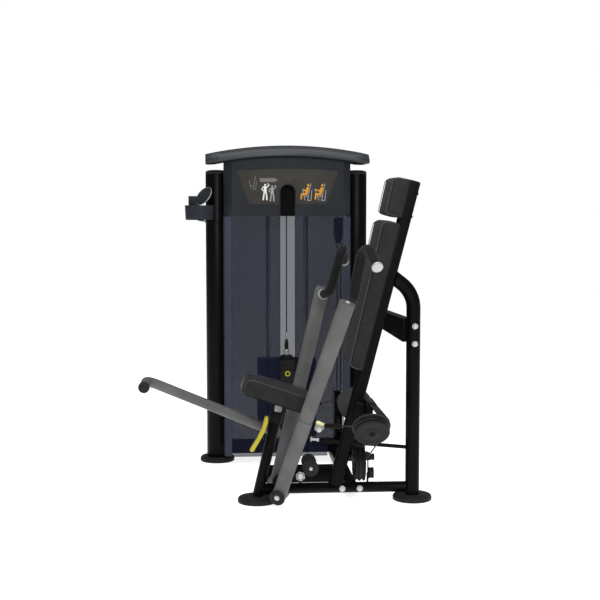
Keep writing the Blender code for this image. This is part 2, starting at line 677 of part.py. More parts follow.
def build_arm(side):
    pivot, top = (station(*mirrored(p, side)) for p in (ARM_PIVOT, ARM_TOP[side]))
    inward = -arm_axis(side) if side == "left" else arm_axis(side)
    along = top - pivot
    levels = ((0.0, ARM_LOWER), (ARM_SEAM, ARM_LOWER), (ARM_SEAM + 0.012, ARM_UPPER), (1.0, ARM_UPPER))
    path = [pivot + along * t for t, _ in levels]
    sections = [[(v, u) for u, v in oval(*size, 20, 2.6)] for _, size in levels]
    arm = sweep("press_arm_" + side, path, sections, "grey_paint", hint=inward, origin=pivot)
    hub = rod("hub", pivot - inward * 0.030, pivot + inward * 0.030, 0.034, "grey_paint", 24)
    weld(arm, hub)
    root = pivot + along * 0.962 + inward * (ARM_UPPER[1] / 2 + 0.0006)
    bends = [station(*mirrored(point, side)) for point in HANDLE_CORNERS[side]]
    corners = [root, root + inward * HANDLE_KNEE[side]] + bends
    path = round_corners(corners, 0.058, 6)
    sweep("handle_" + side, path, oval(2 * HANDLE_R, 2 * HANDLE_R, 16), "chrome",
          hint=(1, 0, 0), origin=pivot)


def build_arm_cables(side):
    centre = station(*mirrored(ARM_SHEAVE, side))
    axis = mirrored(ARM_SHEAVE_AXIS, side)
    upward = mirrored(Vector((0.0, -0.62, 0.78)), side).normalized()
    sheave("arm_pulley_" + side, centre, axis, BIG_SHEAVE, ARM_SHEAVE_WIDTH)
    reach = BIG_SHEAVE[0] + CABLE_R + 0.0006
    touch = centre - Vector((0.6 * reach, 0, 0)) + upward * (0.8 * reach)
    rod("arm_cable_" + side, station(*mirrored(CLEVIS_POINT, side)), touch, CABLE_R, "cable", 8)


def build_pulley_bracket():
    """A shallow V of flat bar behind the back tube, with an arm pulley at each end."""
    back = ARM_SHEAVE - ARM_SHEAVE_AXIS * (ARM_SHEAVE_WIDTH / 2 + 0.016)
    points = [station(back.x, back.y, back.z), station(0.302, -0.045, 0.432),
              station(0.302, 0.045, 0.432), station(back.x, -back.y, back.z)]
    sections = [[(-half, -0.004), (half, -0.004), (half, 0.004), (-half, 0.004)]
                for half in (0.014, 0.030, 0.030, 0.014)]
    sweep("pulley_bracket", points, sections, "black_paint", hint=(0, 0.2, 1))


# ------------------------------------------------------------------ foot lever
def build_foot_lever():
    pivot = station(*FOOT_PIVOT)
    corners = [pivot, station(-0.681, 0.050, 0.553), station(-0.683, -0.170, 0.554)]
    lever = sweep("foot_lever", round_corners(corners, 0.055, 6),
                  oval(2 * FOOT_TUBE_R, 2 * FOOT_TUBE_R, 16), "grey_paint", hint=(0, 0, 1),
                  origin=pivot)
    weld(lever, rod("hub", pivot - Vector((0, 0.0225, 0)), pivot + Vector((0, 0.030, 0)), 0.028,
                    "grey_paint", 20))
    crank = station(*CRANK_PIVOT)
    roller = station(*ROLLER_CENTRE)
    plate = []
    along = (roller - crank).normalized()
    square = Vector((-along.z, 0, along.x))
    for centre, direction, radius in ((crank, -1, 0.022), (roller, 1, 0.016)):
        for i in range(9):
            a = math.pi * (i / 8 - 0.5)
            point = centre + along * (direction * radius * math.cos(a)) \
                + square * (direction * radius * math.sin(a))
            plate.append((point.x, point.z))
    extruded("foot_crank", plate, "XZ", crank.y - 0.006, crank.y + 0.006, "black_paint", crank)
    wheel = [(0.006, -0.014), (ROLLER_R - 0.003, -0.014), (ROLLER_R, -0.011), (ROLLER_R, 0.011),
             (ROLLER_R - 0.003, 0.014), (0.006, 0.014)]
    turned("foot_roller", wheel, roller - Vector((0, 0.0203, 0)), (0, 1, 0), "rubber", 24, True)


# ------------------------------------------------------------------ cup holder
def build_cup_holder():
    """A tapered cup that stands in front of the left upright."""
    cup = [(0, 0), (0.064, 0), (0.074, 0.070), (0.074, 0.074), (0.070, 0.074), (0.0605, 0.004),
           (0, 0.004)]
    turned("cup_holder", cup, (-0.449, -0.0985, 1.263), (0, 0, 1), "rubber", 28)


clear_scene()
MACHINE = bpy.data.objects.new("machine", None)
bpy.context.collection.objects.link(MACHINE)
MACHINE.location = TOWER_SHIFT
build_tower_frame()
build_top_cover()
build_header()
build_shrouds()
build_weight_stack()
build_cable_run()
build_station_frame()
build_back_pads()
build_seat()
for arm_side in ("left", "right"):
    build_arm(arm_side)
    build_arm_cables(arm_side)
build_pulley_bracket()
build_foot_lever()
build_cup_holder()
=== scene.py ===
"""Looks of a chest press machine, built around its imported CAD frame.

The user sits facing -X, so the user's left is -Y, the side nearer to the camera.
"""
import json
import math

import bmesh
import bpy
from mathutils import Matrix, Vector
from mathutils.kdtree import KDTree


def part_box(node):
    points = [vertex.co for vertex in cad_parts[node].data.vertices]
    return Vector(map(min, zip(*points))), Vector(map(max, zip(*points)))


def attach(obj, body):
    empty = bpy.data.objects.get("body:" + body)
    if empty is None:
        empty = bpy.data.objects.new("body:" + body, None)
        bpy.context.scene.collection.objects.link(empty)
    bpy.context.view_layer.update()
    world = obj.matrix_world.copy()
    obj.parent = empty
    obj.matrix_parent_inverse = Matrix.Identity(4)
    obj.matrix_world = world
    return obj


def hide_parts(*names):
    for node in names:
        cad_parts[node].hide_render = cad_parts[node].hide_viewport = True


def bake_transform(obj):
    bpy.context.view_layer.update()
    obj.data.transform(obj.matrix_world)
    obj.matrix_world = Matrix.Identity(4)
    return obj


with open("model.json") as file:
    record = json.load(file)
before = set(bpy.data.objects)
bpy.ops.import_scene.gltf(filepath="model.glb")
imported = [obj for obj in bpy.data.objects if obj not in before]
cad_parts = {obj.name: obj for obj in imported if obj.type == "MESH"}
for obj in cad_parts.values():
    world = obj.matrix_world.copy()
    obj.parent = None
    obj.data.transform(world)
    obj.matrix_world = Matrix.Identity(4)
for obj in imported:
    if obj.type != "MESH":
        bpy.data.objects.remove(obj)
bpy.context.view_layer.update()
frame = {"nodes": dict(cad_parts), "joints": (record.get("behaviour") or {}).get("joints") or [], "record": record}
NODES = frame["nodes"]
SLOTS = {part["node"]: part["material_slot"] for part in frame["record"]["subparts"]}
BODY = {node: body for body, nodes in frame["record"]["behaviour"]["bodies"].items() for node in nodes}
JOINTS = {joint["name"]: joint for joint in frame["joints"]}
RIGHT, BACK, UP, FRONT = (1, 0, 0), (0, 1, 0), (0, 0, 1), (0, -1, 0)


# ---- places, read from the frame
def middle(node):
    low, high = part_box(node)
    return (low + high) / 2


ROD_LEFT, ROD_RIGHT = middle("guide_rod_left"), middle("guide_rod_right")
TOWER = Vector(((ROD_LEFT.x + ROD_RIGHT.x) / 2, ROD_LEFT.y, 0.0))
STATION = Vector((TOWER.x, middle("front_leg").y, 0.0))
HEADER_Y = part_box("header_panel")[0].y - TOWER.y


def tower(x, y, z):
    return TOWER + Vector((x, y, z))


def station(x, y, z):
    return STATION + Vector((x, y, z))


def joint_frame(name):
    joint = JOINTS[name]
    return Vector(joint["pos_m"]), Vector(joint["axis"]).normalized()


# ---- mesh helpers
def place(obj, body, finish, *replaced, slot=None):
    """Give a piece its finish, the body that it rides on and the CAD nodes that it stands for."""
    obj.data.materials.clear()
    obj.data.materials.append(MAT[finish])
    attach(obj, body)
    if replaced:
        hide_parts(*replaced)
    return obj


def to_object(name, bm):
    bmesh.ops.recalc_face_normals(bm, faces=bm.faces)
    mesh = bpy.data.meshes.new(name)
    bm.to_mesh(mesh)
    bm.free()
    mesh.shade_smooth()
    mesh.set_sharp_from_angle(angle=math.radians(35))
    obj = bpy.data.objects.new(name, mesh)
    bpy.context.scene.collection.objects.link(obj)
    return obj


def apply_modifiers(obj, angle=35.0):
    bpy.context.view_layer.update()
    evaluated = obj.evaluated_get(bpy.context.evaluated_depsgraph_get())
    mesh = bpy.data.meshes.new_from_object(evaluated)
    obj.modifiers.clear()
    obj.data = mesh
    mesh.shade_smooth()
    if angle:
        mesh.set_sharp_from_angle(angle=math.radians(angle))
    return obj


def soften(obj, width, segments=2, angle=35.0):
    mod = obj.modifiers.new("edge", "BEVEL")
    mod.width = width
    mod.segments = segments
    mod.limit_method = "ANGLE"
    mod.angle_limit = math.radians(angle)
    mod.harden_normals = False
    return apply_modifiers(obj)


def axis_frame(axis, hint=UP):
    axis = Vector(axis).normalized()
    first = Vector(hint) - axis * Vector(hint).dot(axis)
    if first.length < 1e-4:
        first = Vector(RIGHT) - axis * axis.x
    first.normalize()
    return first, axis.cross(first)


def loft(name, rings):
    bm = bmesh.new()
    loops = [[bm.verts.new(point) for point in ring] for ring in rings]
    count = len(rings[0])
    for lower, upper in zip(loops, loops[1:]):
        for i in range(count):
            j = (i + 1) % count
            bm.faces.new((lower[i], lower[j], upper[j], upper[i]))
    bm.faces.new(reversed(loops[0]))
    bm.faces.new(loops[-1])
    return to_object(name, bm)


def turned(name, profile, centre, axis, segments=48, closed=False):
    first, second = axis_frame(axis)
    centre, along = Vector(centre), Vector(axis).normalized()
    bm = bmesh.new()
    loops = []
    for radius, height in profile:
        if radius < 1e-6:
            loops.append([bm.verts.new(centre + along * height)])
            continue
        loops.append([bm.verts.new(centre + along * height
            + first * radius * math.cos(2 * math.pi * i / segments)
            + second * radius * math.sin(2 * math.pi * i / segments)) for i in range(segments)])
    pairs = list(zip(loops, loops[1:]))
    if closed:
        pairs.append((loops[-1], loops[0]))
    for lower, upper in pairs:
        for i in range(segments):
            j = (i + 1) % segments
            corners = []
            for vert in (lower[i % len(lower)], lower[j % len(lower)], upper[j % len(upper)],
                    upper[i % len(upper)]):
                if vert not in corners:
                    corners.append(vert)
            bm.faces.new(corners)
    return to_object(name, bm)


def hoop(name, centre, first, second, radius, wide, deep, count, sides):
    """A closed wire ring round centre, in the plane of first and second."""
    normal = first.cross(second).normalized()
    bm = bmesh.new()
    loops = []
    for i in range(count):
        a = 2 * math.pi * i / count
        arm = (first * math.cos(a) + second * math.sin(a)) * radius
        out = arm.normalized()
        loops.append([bm.verts.new(centre + arm + out * wide * math.cos(t) + normal * deep * math.sin(t))
            for t in (2 * math.pi * k / sides for k in range(sides))])
    for a in range(count):
        b = (a + 1) % count
        for k in range(sides):
            m = (k + 1) % sides
            bm.faces.new((loops[a][k], loops[b][k], loops[b][m], loops[a][m]))
    return to_object(name, bm)


def spun(name, body, finish, centre, axis, profile, segments=48, closed=False, slot=None):
    """A placed turned piece; its profile is in millimetres."""
    metres = [(radius / 1000, height / 1000) for radius, height in profile]
    return place(turned(name, metres, centre, axis, segments, closed), body, finish, slot=slot)


def corner_arc(before, corner, after, radius, steps, limit=None):
    """Points of a fillet; limit is the most of either leg that it may take."""
    back, ahead = (before - corner).normalized(), (after - corner).normalized()
    half = back.angle(ahead) / 2
    reach = radius / math.tan(half)
    if limit:
        reach = min(reach, limit * (before - corner).length, limit * (after - corner).length)
    centre = corner + (back + ahead).normalized() * (reach * math.tan(half) / math.sin(half))
    one, two = corner + back * reach - centre, corner + ahead * reach - centre
    turn = one.angle(two)
    return [centre + (one * math.sin((1 - t) * turn) + two * math.sin(t * turn)) / math.sin(turn)
        for t in (i / steps for i in range(steps + 1))]


def round_corners(points, radius, steps=12):
    path = [points[0]]
    for before, corner, after in zip(points, points[1:], points[2:]):
        path += corner_arc(before, corner, after, radius, steps, 0.49)
    return path + [points[-1]]


def oval(width, depth, segments=40, power=2.0):
    points = []
    for i in range(segments):
        angle = 2 * math.pi * (i + 0.5) / segments
        c, s = math.cos(angle), math.sin(angle)
        points.append((math.copysign(abs(c) ** (2 / power), c) * width / 2,
            math.copysign(abs(s) ** (2 / power), s) * depth / 2))
    return points


def sweep(name, path, section, hint=BACK, scales=None):
    path = [Vector(p) for p in path]
    rings = []
    side = None
    for i, point in enumerate(path):
        ahead = (path[min(i + 1, len(path) - 1)] - path[max(i - 1, 0)]).normalized()
        side = axis_frame(ahead, hint if side is None else side)[0]
        other = ahead.cross(side)
        scale = scales[i] if scales else 1.0
        rings.append([point + (side * u + other * v) * scale for u, v in section])
    return loft(name, rings)


def tube(name, path, radius, segments=32, **options):
    return sweep(name, path, oval(2 * radius, 2 * radius, segments), **options)


# ---- procedural materials
class Shader:
    """A Principled material and the few nodes that vary its colour, roughness and surface."""

    def __init__(self, name, color, roughness, metallic=0.0, **sockets):
        self.material = bpy.data.materials.new(name)
        self.material.use_nodes = True
        self.tree = self.material.node_tree
        self.bsdf = self.tree.nodes["Principled BSDF"]
        self.color, self.roughness = color, roughness
        self.bsdf.inputs["Base Color"].default_value = (*color, 1.0)
        self.bsdf.inputs["Roughness"].default_value = roughness
        self.bsdf.inputs["Metallic"].default_value = metallic
        self.bsdf.inputs["Specular IOR Level"].default_value = 0.5 if metallic else 0.06
        for socket, value in sockets.items():
            self.bsdf.inputs[socket.replace("_", " ")].default_value = value
        self.coords = self.tree.nodes.new("ShaderNodeTexCoord").outputs["Object"]
        self.height = None

    def node(self, kind, **settings):
        made = self.tree.nodes.new(kind)
        for key, value in settings.items():
            if key in made.inputs:
                made.inputs[key].default_value = value
            else:
                setattr(made, key, value)
        return made

    def link(self, output, socket):
        self.tree.links.new(output, socket)

    def noise(self, scale, detail=3.0, stretch=(1, 1, 1)):
        mapping = self.node("ShaderNodeMapping")
        mapping.inputs["Scale"].default_value = stretch
        noise = self.node("ShaderNodeTexNoise", Scale=scale, Detail=detail)
        self.link(self.coords, mapping.inputs["Vector"])
        self.link(mapping.outputs["Vector"], noise.inputs["Vector"])
        return noise.outputs["Fac"]

    def cells(self, scale):
        cells = self.node("ShaderNodeTexVoronoi", Scale=scale)
        self.link(self.coords, cells.inputs["Vector"])
        return cells.outputs["Distance"]

    def ramp(self, value, low, high):
        """Remap a 0 to 1 value to the range low to high."""
        spread = self.node("ShaderNodeMapRange")
        spread.inputs["To Min"].default_value = low
        spread.inputs["To Max"].default_value = high
        self.link(value, spread.inputs["Value"])
        return spread.outputs["Result"]

    def vary_roughness(self, value, amount):
        out = self.ramp(value, self.roughness - amount, self.roughness + amount)
        self.link(out, self.bsdf.inputs["Roughness"])

    def vary_color(self, value, other, start=0.35, end=0.65):
        ramp = self.node("ShaderNodeValToRGB")
        ramp.color_ramp.elements[0].position = start
        ramp.color_ramp.elements[0].color = (*self.color, 1.0)
        ramp.color_ramp.elements[1].position = end
        ramp.color_ramp.elements[1].color = (*other, 1.0)
        self.link(value, ramp.inputs["Fac"])
        self.link(ramp.outputs["Color"], self.bsdf.inputs["Base Color"])

    def bump(self, value, distance, strength=1.0):
        bump = self.node("ShaderNodeBump", Strength=strength, Distance=distance)
        self.link(value, bump.inputs["Height"])
        if self.height:
            self.link(self.height, bump.inputs["Normal"])
        self.height = bump.outputs["Normal"]
        self.link(self.height, self.bsdf.inputs["Normal"])


def brighter(color, factor):
    return tuple(min(1.0, channel * factor) for channel in color)


def surface(name, color, roughness, mottle=None, grain=None, bumps=(), metallic=0.0, stretch=(1, 1, 1),
        **sockets):
    """A material from a few noises; where a detail is None, cells stand in for the noise.

    mottle is (scale, detail, other colour or brightness, start, end), grain is (scale, detail,
    change of roughness) and each bump is (scale, detail, distance, strength).
    """
    shader = Shader(name, color, roughness, metallic, **sockets)

    def pattern(scale, detail):
        return shader.noise(scale, detail, stretch) if detail else shader.cells(scale)

    if mottle:
        scale, detail, other, start, end = mottle
        other = brighter(color, other) if isinstance(other, float) else other
        shader.vary_color(pattern(scale, detail), other, start, end)
    if grain:
        shader.vary_roughness(pattern(*grain[:2]), grain[2])
    for scale, detail, distance, strength in bumps:
        shader.bump(pattern(scale, detail), distance, strength)
    return shader.material


def powder_coat(name, color, roughness):
    return surface(name, color, roughness, (9.0, 4.0, 1.3, 0.4, 0.75), (60.0, 3.0, 0.07),
        ((900.0, 2.0, 0.00035, 0.35), (170.0, 2.0, 0.0005, 0.25)), Coat_Weight=0.01, Coat_Roughness=0.25)


def moulded_plastic(name, color, roughness, grain=1500.0, **sockets):
    return surface(name, color, roughness, (7.0, 3.0, 1.22, 0.35, 0.8), (45.0, 4.0, 0.06),
        ((grain, None, 0.0003, 0.35),), **sockets)


def soft_rubber(name, color, roughness):
    return surface(name, color, roughness, (30.0, 5.0, 1.6, 0.45, 0.8), (90.0, 3.0, 0.08),
        ((700.0, 4.0, 0.0005, 0.4),), Sheen_Weight=0.05, Sheen_Roughness=0.5)


def foam_grip():
    """Ribbed rubber sleeve: tiny cells over a coarser mottle."""
    return surface("grip_sleeve", (0.0075, 0.0075, 0.0077), 0.72, (420.0, None, (0.017, 0.017, 0.0174), 0.3,
        0.9), (120.0, 2.0, 0.08), ((420.0, None, 0.0012, 0.5),), Sheen_Weight=0.08, Sheen_Roughness=0.4)


def leather():
    """Black upholstery vinyl: pebbled grain, soft creases and a low sheen."""
    return surface("upholstery_vinyl", (0.016, 0.016, 0.0164), 0.5, (26.0, 6.0, (0.022, 0.022, 0.0225),
        0.35, 0.75), (70.0, 3.0, 0.09), ((360.0, None, 0.0007, 0.4), (26.0, 6.0, 0.0012, 0.22)),
        Coat_Weight=0.03, Coat_Roughness=0.35, Sheen_Weight=0.04, Sheen_Roughness=0.45)


def polished(name, color, roughness, stretch=(1, 1, 14), metallic=1.0):
    return surface(name, color, roughness, None, (160.0, 3.0, 0.06), ((420.0, 2.0, 0.0001, 0.15),),
        metallic, stretch)


def smoked(name, color, alpha):
    """Tinted see-through sheet with a faint haze."""
    return surface(name, color, 0.55, (3.0, 2.0, 1.15, 0.3, 0.8), (14.0, 3.0, 0.05), Alpha=alpha,
        Specular_IOR_Level=0.02)


def cast_plate():
    return surface("stack_enamel", (0.016, 0.016, 0.017), 0.45, (18.0, 6.0, (0.028, 0.028, 0.029), 0.4,
        0.7), (80.0, 4.0, 0.12), ((240.0, 5.0, 0.0009, 0.35),))


def wire_rope():
    """Nylon-coated cable: a slight spiral shows through the coat."""
    shader = Shader("coated_cable", (0.02, 0.02, 0.021), 0.38, Coat_Weight=0.08)
    wave = shader.node("ShaderNodeTexWave", Scale=160.0, Distortion=0.5)
    wave.bands_direction = "DIAGONAL"
    shader.link(shader.coords, wave.inputs["Vector"])
    shader.bump(wave.outputs["Fac"], 0.0003, 0.3)
    shader.vary_color(shader.noise(40.0), (0.035, 0.035, 0.036), 0.4, 0.7)
    return shader.material


def printed(name, color, roughness=0.4):
    return surface(name, color, roughness, (25.0, 3.0, 0.88, 0.45, 0.8), (60.0, 2.0, 0.05))


MAT = {"frame_black": powder_coat("black_powder_coat", (0.0024, 0.0024, 0.0025), 0.36),
    "arm_grey": powder_coat("grey_powder_coat", (0.096, 0.095, 0.094), 0.4),
    "black_rubber": soft_rubber("foot_rubber", (0.016, 0.016, 0.0165), 0.66),
    "cover_plastic": moulded_plastic("cover_plastic_grain", (0.022, 0.025, 0.029), 0.4,
    Specular_IOR_Level=0.3), "header_plastic": moulded_plastic("header_plastic_grain",
    (0.021, 0.0235, 0.027), 0.52), "placard": printed("placard_film", (0.042, 0.039, 0.035), 0.4),
    "smoked_sheet": smoked("smoked_acrylic", (0.0104, 0.0132, 0.0272), 0.58),
    "chrome_steel": polished("polished_chrome", (0.62, 0.62, 0.63), 0.3, metallic=0.6),
    "stack_iron": cast_plate(), "yellow_plastic": moulded_plastic("yellow_nylon", (0.42, 0.36, 0.04), 0.4),
    "cable_black": wire_rope(), "sheave_black": moulded_plastic("sheave_nylon", (0.015, 0.015, 0.0155),
    0.42, 900.0), "upholstery": leather(), "grip_foam": foam_grip(), "zinc": polished("zinc_bolt",
    (0.5, 0.5, 0.5), 0.42, (1, 1, 1), 0.3), "cap_silver": polished("brushed_silver", (0.42, 0.42, 0.43),
    0.42, (1, 1, 1), 0.35), "passivated": polished("yellow_zinc", (0.58, 0.54, 0.27), 0.36, (1, 1, 1), 0.5),
    # a bluer, brighter copy of the smoked acrylic for the rear shroud: the blue is its tint, the extra brightness
    # is painted light making up for the shade inside the tower
    "rear_tint_and_painted_light": smoked("smoked_rear_tint_and_painted_light", (0.04, 0.078, 0.155), 0.57),
    # near-black painted shade for holes, grooves and sockets, standing in for the shade that falls inside them
    "painted_shade_hole": soft_rubber("painted_shade_socket", (0.004, 0.004, 0.004), 0.85),
    "dull_steel": polished("dull_steel_plate", (0.24, 0.235, 0.21), 0.42, (1, 1, 1), 0.4),
    "edge_trim": moulded_plastic("pad_edge_trim", (0.006, 0.006, 0.0063), 0.55),
    # the welts' lighter grey is a painted highlight along the seams of the black vinyl
    "welt_painted_highlight": soft_rubber("pad_welt_painted_highlight", (0.06, 0.06, 0.061), 0.5),
    "sheet_flange": moulded_plastic("smoked_flange", (0.037, 0.043, 0.061), 0.5),
    "collar_plastic": moulded_plastic("collar_plastic", (0.007, 0.007, 0.007), 0.5),
    "tray_plastic": moulded_plastic("tray_plastic", (0.022, 0.025, 0.03), 0.5),
    "header_edge": moulded_plastic("header_edge", (0.036, 0.04, 0.045), 0.45),
    "sheet_edge": smoked("smoked_edge", (0.006, 0.008, 0.016), 0.9), "print_white": printed("print_white",
    (0.74, 0.74, 0.73)), "print_grey": printed("print_grey", (0.3, 0.3, 0.3)),
    # the pulley guard plates are black; their lighter grey coat is painted light from the lamp above
    "print_faint": printed("print_faint", (0.165, 0.16, 0.15)), "guard_painted_light_grey": powder_coat("guard_coat_painted_light",
    (0.045, 0.045, 0.046), 0.45), "print_amber": printed("print_amber", (0.62, 0.27, 0.02)),}


# ---- CAD solids carried over
def carry(node, edge):
    """A finished copy of a CAD solid: clean quads, rounded edges and a surface."""
    bm = bmesh.new()
    bm.from_mesh(NODES[node].data)
    bmesh.ops.remove_doubles(bm, verts=bm.verts, dist=1e-5)
    bmesh.ops.join_triangles(bm, faces=bm.faces, angle_face_threshold=math.radians(0.5),
        angle_shape_threshold=math.radians(180))
    bmesh.ops.dissolve_limit(bm, angle_limit=math.radians(0.2), verts=bm.verts, edges=bm.edges)
    obj = to_object(node + "_shell", bm)
    if edge:
        soften(obj, edge)
    # the rear shroud gets the brighter smoked copy: its blue tint plus painted light for the shade inside the
    # tower
    return place(obj, BODY[node], "rear_tint_and_painted_light" if node == "rear_shroud" else SLOTS[node], node)


# how far the edges of each carried-over solid are rounded, in millimetres
CARRIED = (
    (0.6, "tower_upright_left tower_upright_right"),
    (1.5, "upright_cap_left upright_cap_right"),
    (2.0, "tower_foot_left tower_foot_right seat_foot_front seat_foot_rear"),
    (1.0, "tower_base_beam tower_top_beam"),
    (2.0, "top_cover"), (1.2, "header_panel"), (0.4, "header_placard"),
    (0.8, "front_shroud_left front_shroud_right rear_shroud"),
    (0.0, "guide_rod_left guide_rod_right"),
    (1.5, "stack_bumper_left stack_bumper_right"),
    (0.6, "weight_stack weight_plate_1 weight_plate_2 weight_top_plate"),
    (0.0, "selector_stem"), (0.8, "selector_pin"), (0.0, "drive_cable"),
    (1.0, "cable_guide lower_pulley_bracket lower_link_beam upper_link_beam side_base_beam"),
    (0.0, "base_frame"), (0.8, "front_leg"), (0.0, "back_tube rear_upright"),
    (0.8, "seat_post"), (1.0, "seat_plate seat_lever"),
    (0.8, "top_pulley side_pulley lower_pulley base_pulley"),
    (1.0, "arm_pulley_left arm_pulley_right pulley_bracket"),
    (0.0, "foot_lever"), (1.0, "foot_crank foot_roller"),
)


def carry_all():
    for edge, nodes in CARRIED:
        for node in nodes.split():
            carry(node, edge / 1000)


# ---- small fittings
def merged(name, parts):
    """Join several objects into the first one's mesh and name it."""
    bm = bmesh.new()
    for part in parts:
        part.data.transform(part.matrix_world)
        bm.from_mesh(part.data)
        bpy.data.objects.remove(part, do_unlink=True)
    return to_object(name, bm)


def bolt(name, body, centre, axis, radius=0.0085, height=0.0055, sides=6, washer=1.45, finish="zinc"):
    """A washer with a hexagon or domed head on it; centre lies on the surface, axis points out."""
    plate = turned(name + "_w", [(0, -0.001), (radius * washer, -0.001), (radius * washer, 0.0012),
        (radius * washer - 0.0006, 0.0018), (0, 0.0018)], centre, axis, 32)
    if sides == 6:
        profile = [(0, 0.0015), (radius, 0.0015), (radius, height), (radius * 0.86, height + 0.0012),
            (0, height + 0.0012)]
        head = turned(name + "_h", profile, centre, axis, 6)
        soften(head, 0.0004, 2, 25)
    else:
        profile = [(0, 0.0015), (radius, 0.0015)]
        profile += [(radius * math.cos(a), 0.0022 + height * math.sin(a)) for a in (math.pi * i / 16
            for i in range(8))]
        profile.append((0, 0.0022 + height))
        head = turned(name + "_h", profile, centre, axis, 32)
    return place(merged(name, [plate, head]), body, finish)


def flat_bar(name, start, end, wide, thick, body, slot="frame_black", hint=UP, edge=0.0008):
    section = [(-wide / 2, -thick / 2), (wide / 2, -thick / 2), (wide / 2, thick / 2),
        (-wide / 2, thick / 2)]
    return place(soften(sweep(name, [start, end], section, hint=hint), edge), body, slot)


# ---- cushions
VOXEL, SWELL_LIMIT = 0.0055, 0.006
CLOTH_STEPS = 20


def rounded_outline(corners):
    """A closed 2D outline from (u, w, radius) corners given in order."""
    places = [Vector(corner[:2]) for corner in corners]
    points = []
    for i, corner in enumerate(corners):
        points += corner_arc(places[i - 1], places[i], places[(i + 1) % len(corners)], corner[2], 7)
    dense = []
    for i, point in enumerate(points):
        other = points[(i + 1) % len(points)]
        count = max(1, int((other - point).length / 0.012))
        dense += [point.lerp(other, k / count) for k in range(count)]
    return dense


class Cushion:
    """A stuffed slab: a side outline carried across its width, with rounded plan corners.

    quad holds the side's front-low, front-high, back-high and back-low corners; front is the
    face that the user touches, and the back lies on a board.
    """

    def __init__(self, name, node, quad, half, nose, heel, corner, puff, taper=0.0):
        self.name, self.node, self.half, self.corner, self.puff = name, node, half, corner, puff
        self.taper = taper
        self.quad = [Vector(p) for p in quad]
        low_front, high_front, high_back, low_back = self.quad
        self.length = (high_front - low_front).length
        self.thick = ((low_front - low_back).length + (high_front - high_back).length) / 2
        self.outline = rounded_outline([(0.0, 0.0, 0.004), (0.0, self.thick, heel),
            (self.length, self.thick, nose), (self.length, 0.0, 0.004)])

    def point(self, u, y, w):
        a, b = u / self.length, w / self.thick
        low_front, high_front, high_back, low_back = self.quad
        at = low_back.lerp(high_back, a).lerp(low_front.lerp(high_front, a), b)
        return Vector((at.x, at.y + y * (1.0 - self.taper * a), at.z))

    def ring(self, y, inset, shrink=0.0):
        deep = abs(y) - (self.half - self.corner)
        pull = self.corner - math.sqrt(max(0.0, self.corner ** 2 - deep ** 2)) if deep > 0 else 0.0
        pull = min(pull, 0.7 * self.corner) + shrink
        middle = self.length / 2
        points = []
        for u, w in self.outline:
            far = (u - middle) / middle
            weight = max(0.0, (abs(far) - 0.45) / 0.55)
            u -= math.copysign((pull + inset) * weight, far)
            w = max(0.0, min(w, self.thick - (inset + shrink) * (w / self.thick)))
            points.append(self.point(u, y, w))
        return points

    def shell(self, name, edge=0.01, shrink=0.0):
        half = self.half - shrink
        rings = []
        for k in range(6):
            a = 0.5 * math.pi * k / 5
            rings.append((-half + edge * (1 - math.cos(a)), edge * (1 - math.sin(a))))
        inner = [(-1 + 2 * i / 22) * (half - edge) for i in range(1, 22)]
        stations = [(y, inset) for y, inset in rings]
        stations += [(y, 0.0) for y in inner]
        stations += [(-y, inset) for y, inset in reversed(rings)]
        return loft(name, [self.ring(y, inset, shrink) for y, inset in stations])

    def seam(self, sign):
        """The welt's line round the side: everything but the board's edge."""
        points = [p for p, (_, w) in zip(self.ring(self.half - 0.001, 0.0), self.outline)
            if w > 0.1 * self.thick]
        return [Vector((p.x, self.quad[0].y + sign * (p.y - self.quad[0].y), p.z)) for p in points]

    def build(self, body):
        seams = [self.seam(-1), self.seam(1)]
        form = self.inflate(seams)
        place(form, body, "upholstery", self.node)
        # the welts get a lighter grey than the vinyl: a painted highlight along the seams
        for side, line in zip(("near", "far"), seams):
            place(tube(self.name + "_welt_" + side, line, 0.0017, 10), body, "welt_painted_highlight")
        return form

    def inflate(self, seams):
        """Swell the cushion under slight pressure, held along its welts and on its board."""
        form = self.shell(self.name + "_cover", 0.006, 0.0022)
        remesh = form.modifiers.new("even", "REMESH")
        remesh.mode = "VOXEL"
        remesh.voxel_size = VOXEL
        apply_modifiers(form, None)
        start = [v.co.copy() for v in form.data.vertices]
        lines = [p for line in seams for p in line]
        tree = KDTree(len(lines))
        for i, p in enumerate(lines):
            tree.insert(p, i)
        tree.balance()
        low_back, high_back = self.quad[3], self.quad[2]
        along = (high_back - low_back).normalized()
        normal = (self.quad[0] - low_back)
        normal = (normal - along * normal.dot(along)).normalized()
        held = form.vertex_groups.new(name="held")
        for i, co in enumerate(start):
            near = tree.find(co)[2]
            level = (co - low_back).dot(normal)
            if near < 0.008 or level < 0.005:
                held.add([i], 1.0, "REPLACE")
        cloth = form.modifiers.new("stuffing", "CLOTH")
        settings = {"quality": 5, "mass": 0.25, "tension_stiffness": 40.0, "compression_stiffness": 40.0,
            "shear_stiffness": 20.0, "bending_stiffness": 2.0, "use_pressure": True,
            "uniform_pressure_force": self.puff, "vertex_group_mass": "held"}
        for key, value in settings.items():
            setattr(cloth.settings, key, value)
        cloth.settings.effector_weights.gravity = 0.0
        cloth.collision_settings.use_self_collision = False
        cloth.collision_settings.use_collision = False
        cloth.point_cache.frame_start, cloth.point_cache.frame_end = 1, CLOTH_STEPS
        scene = bpy.context.scene
        for step in range(1, CLOTH_STEPS + 1):
            scene.frame_set(step)
        apply_modifiers(form, None)
        scene.frame_set(1)
        for v, rest in zip(form.data.vertices, start):
            move = v.co - rest
            if move.length > SWELL_LIMIT:
                v.co = rest + move * (SWELL_LIMIT / move.length)
        smooth = form.modifiers.new("smooth", "SMOOTH")
        smooth.factor, smooth.iterations = 0.5, 3
        finer = form.modifiers.new("finer", "SUBSURF")
        finer.levels = finer.render_levels = 1
        return apply_modifiers(form, None)


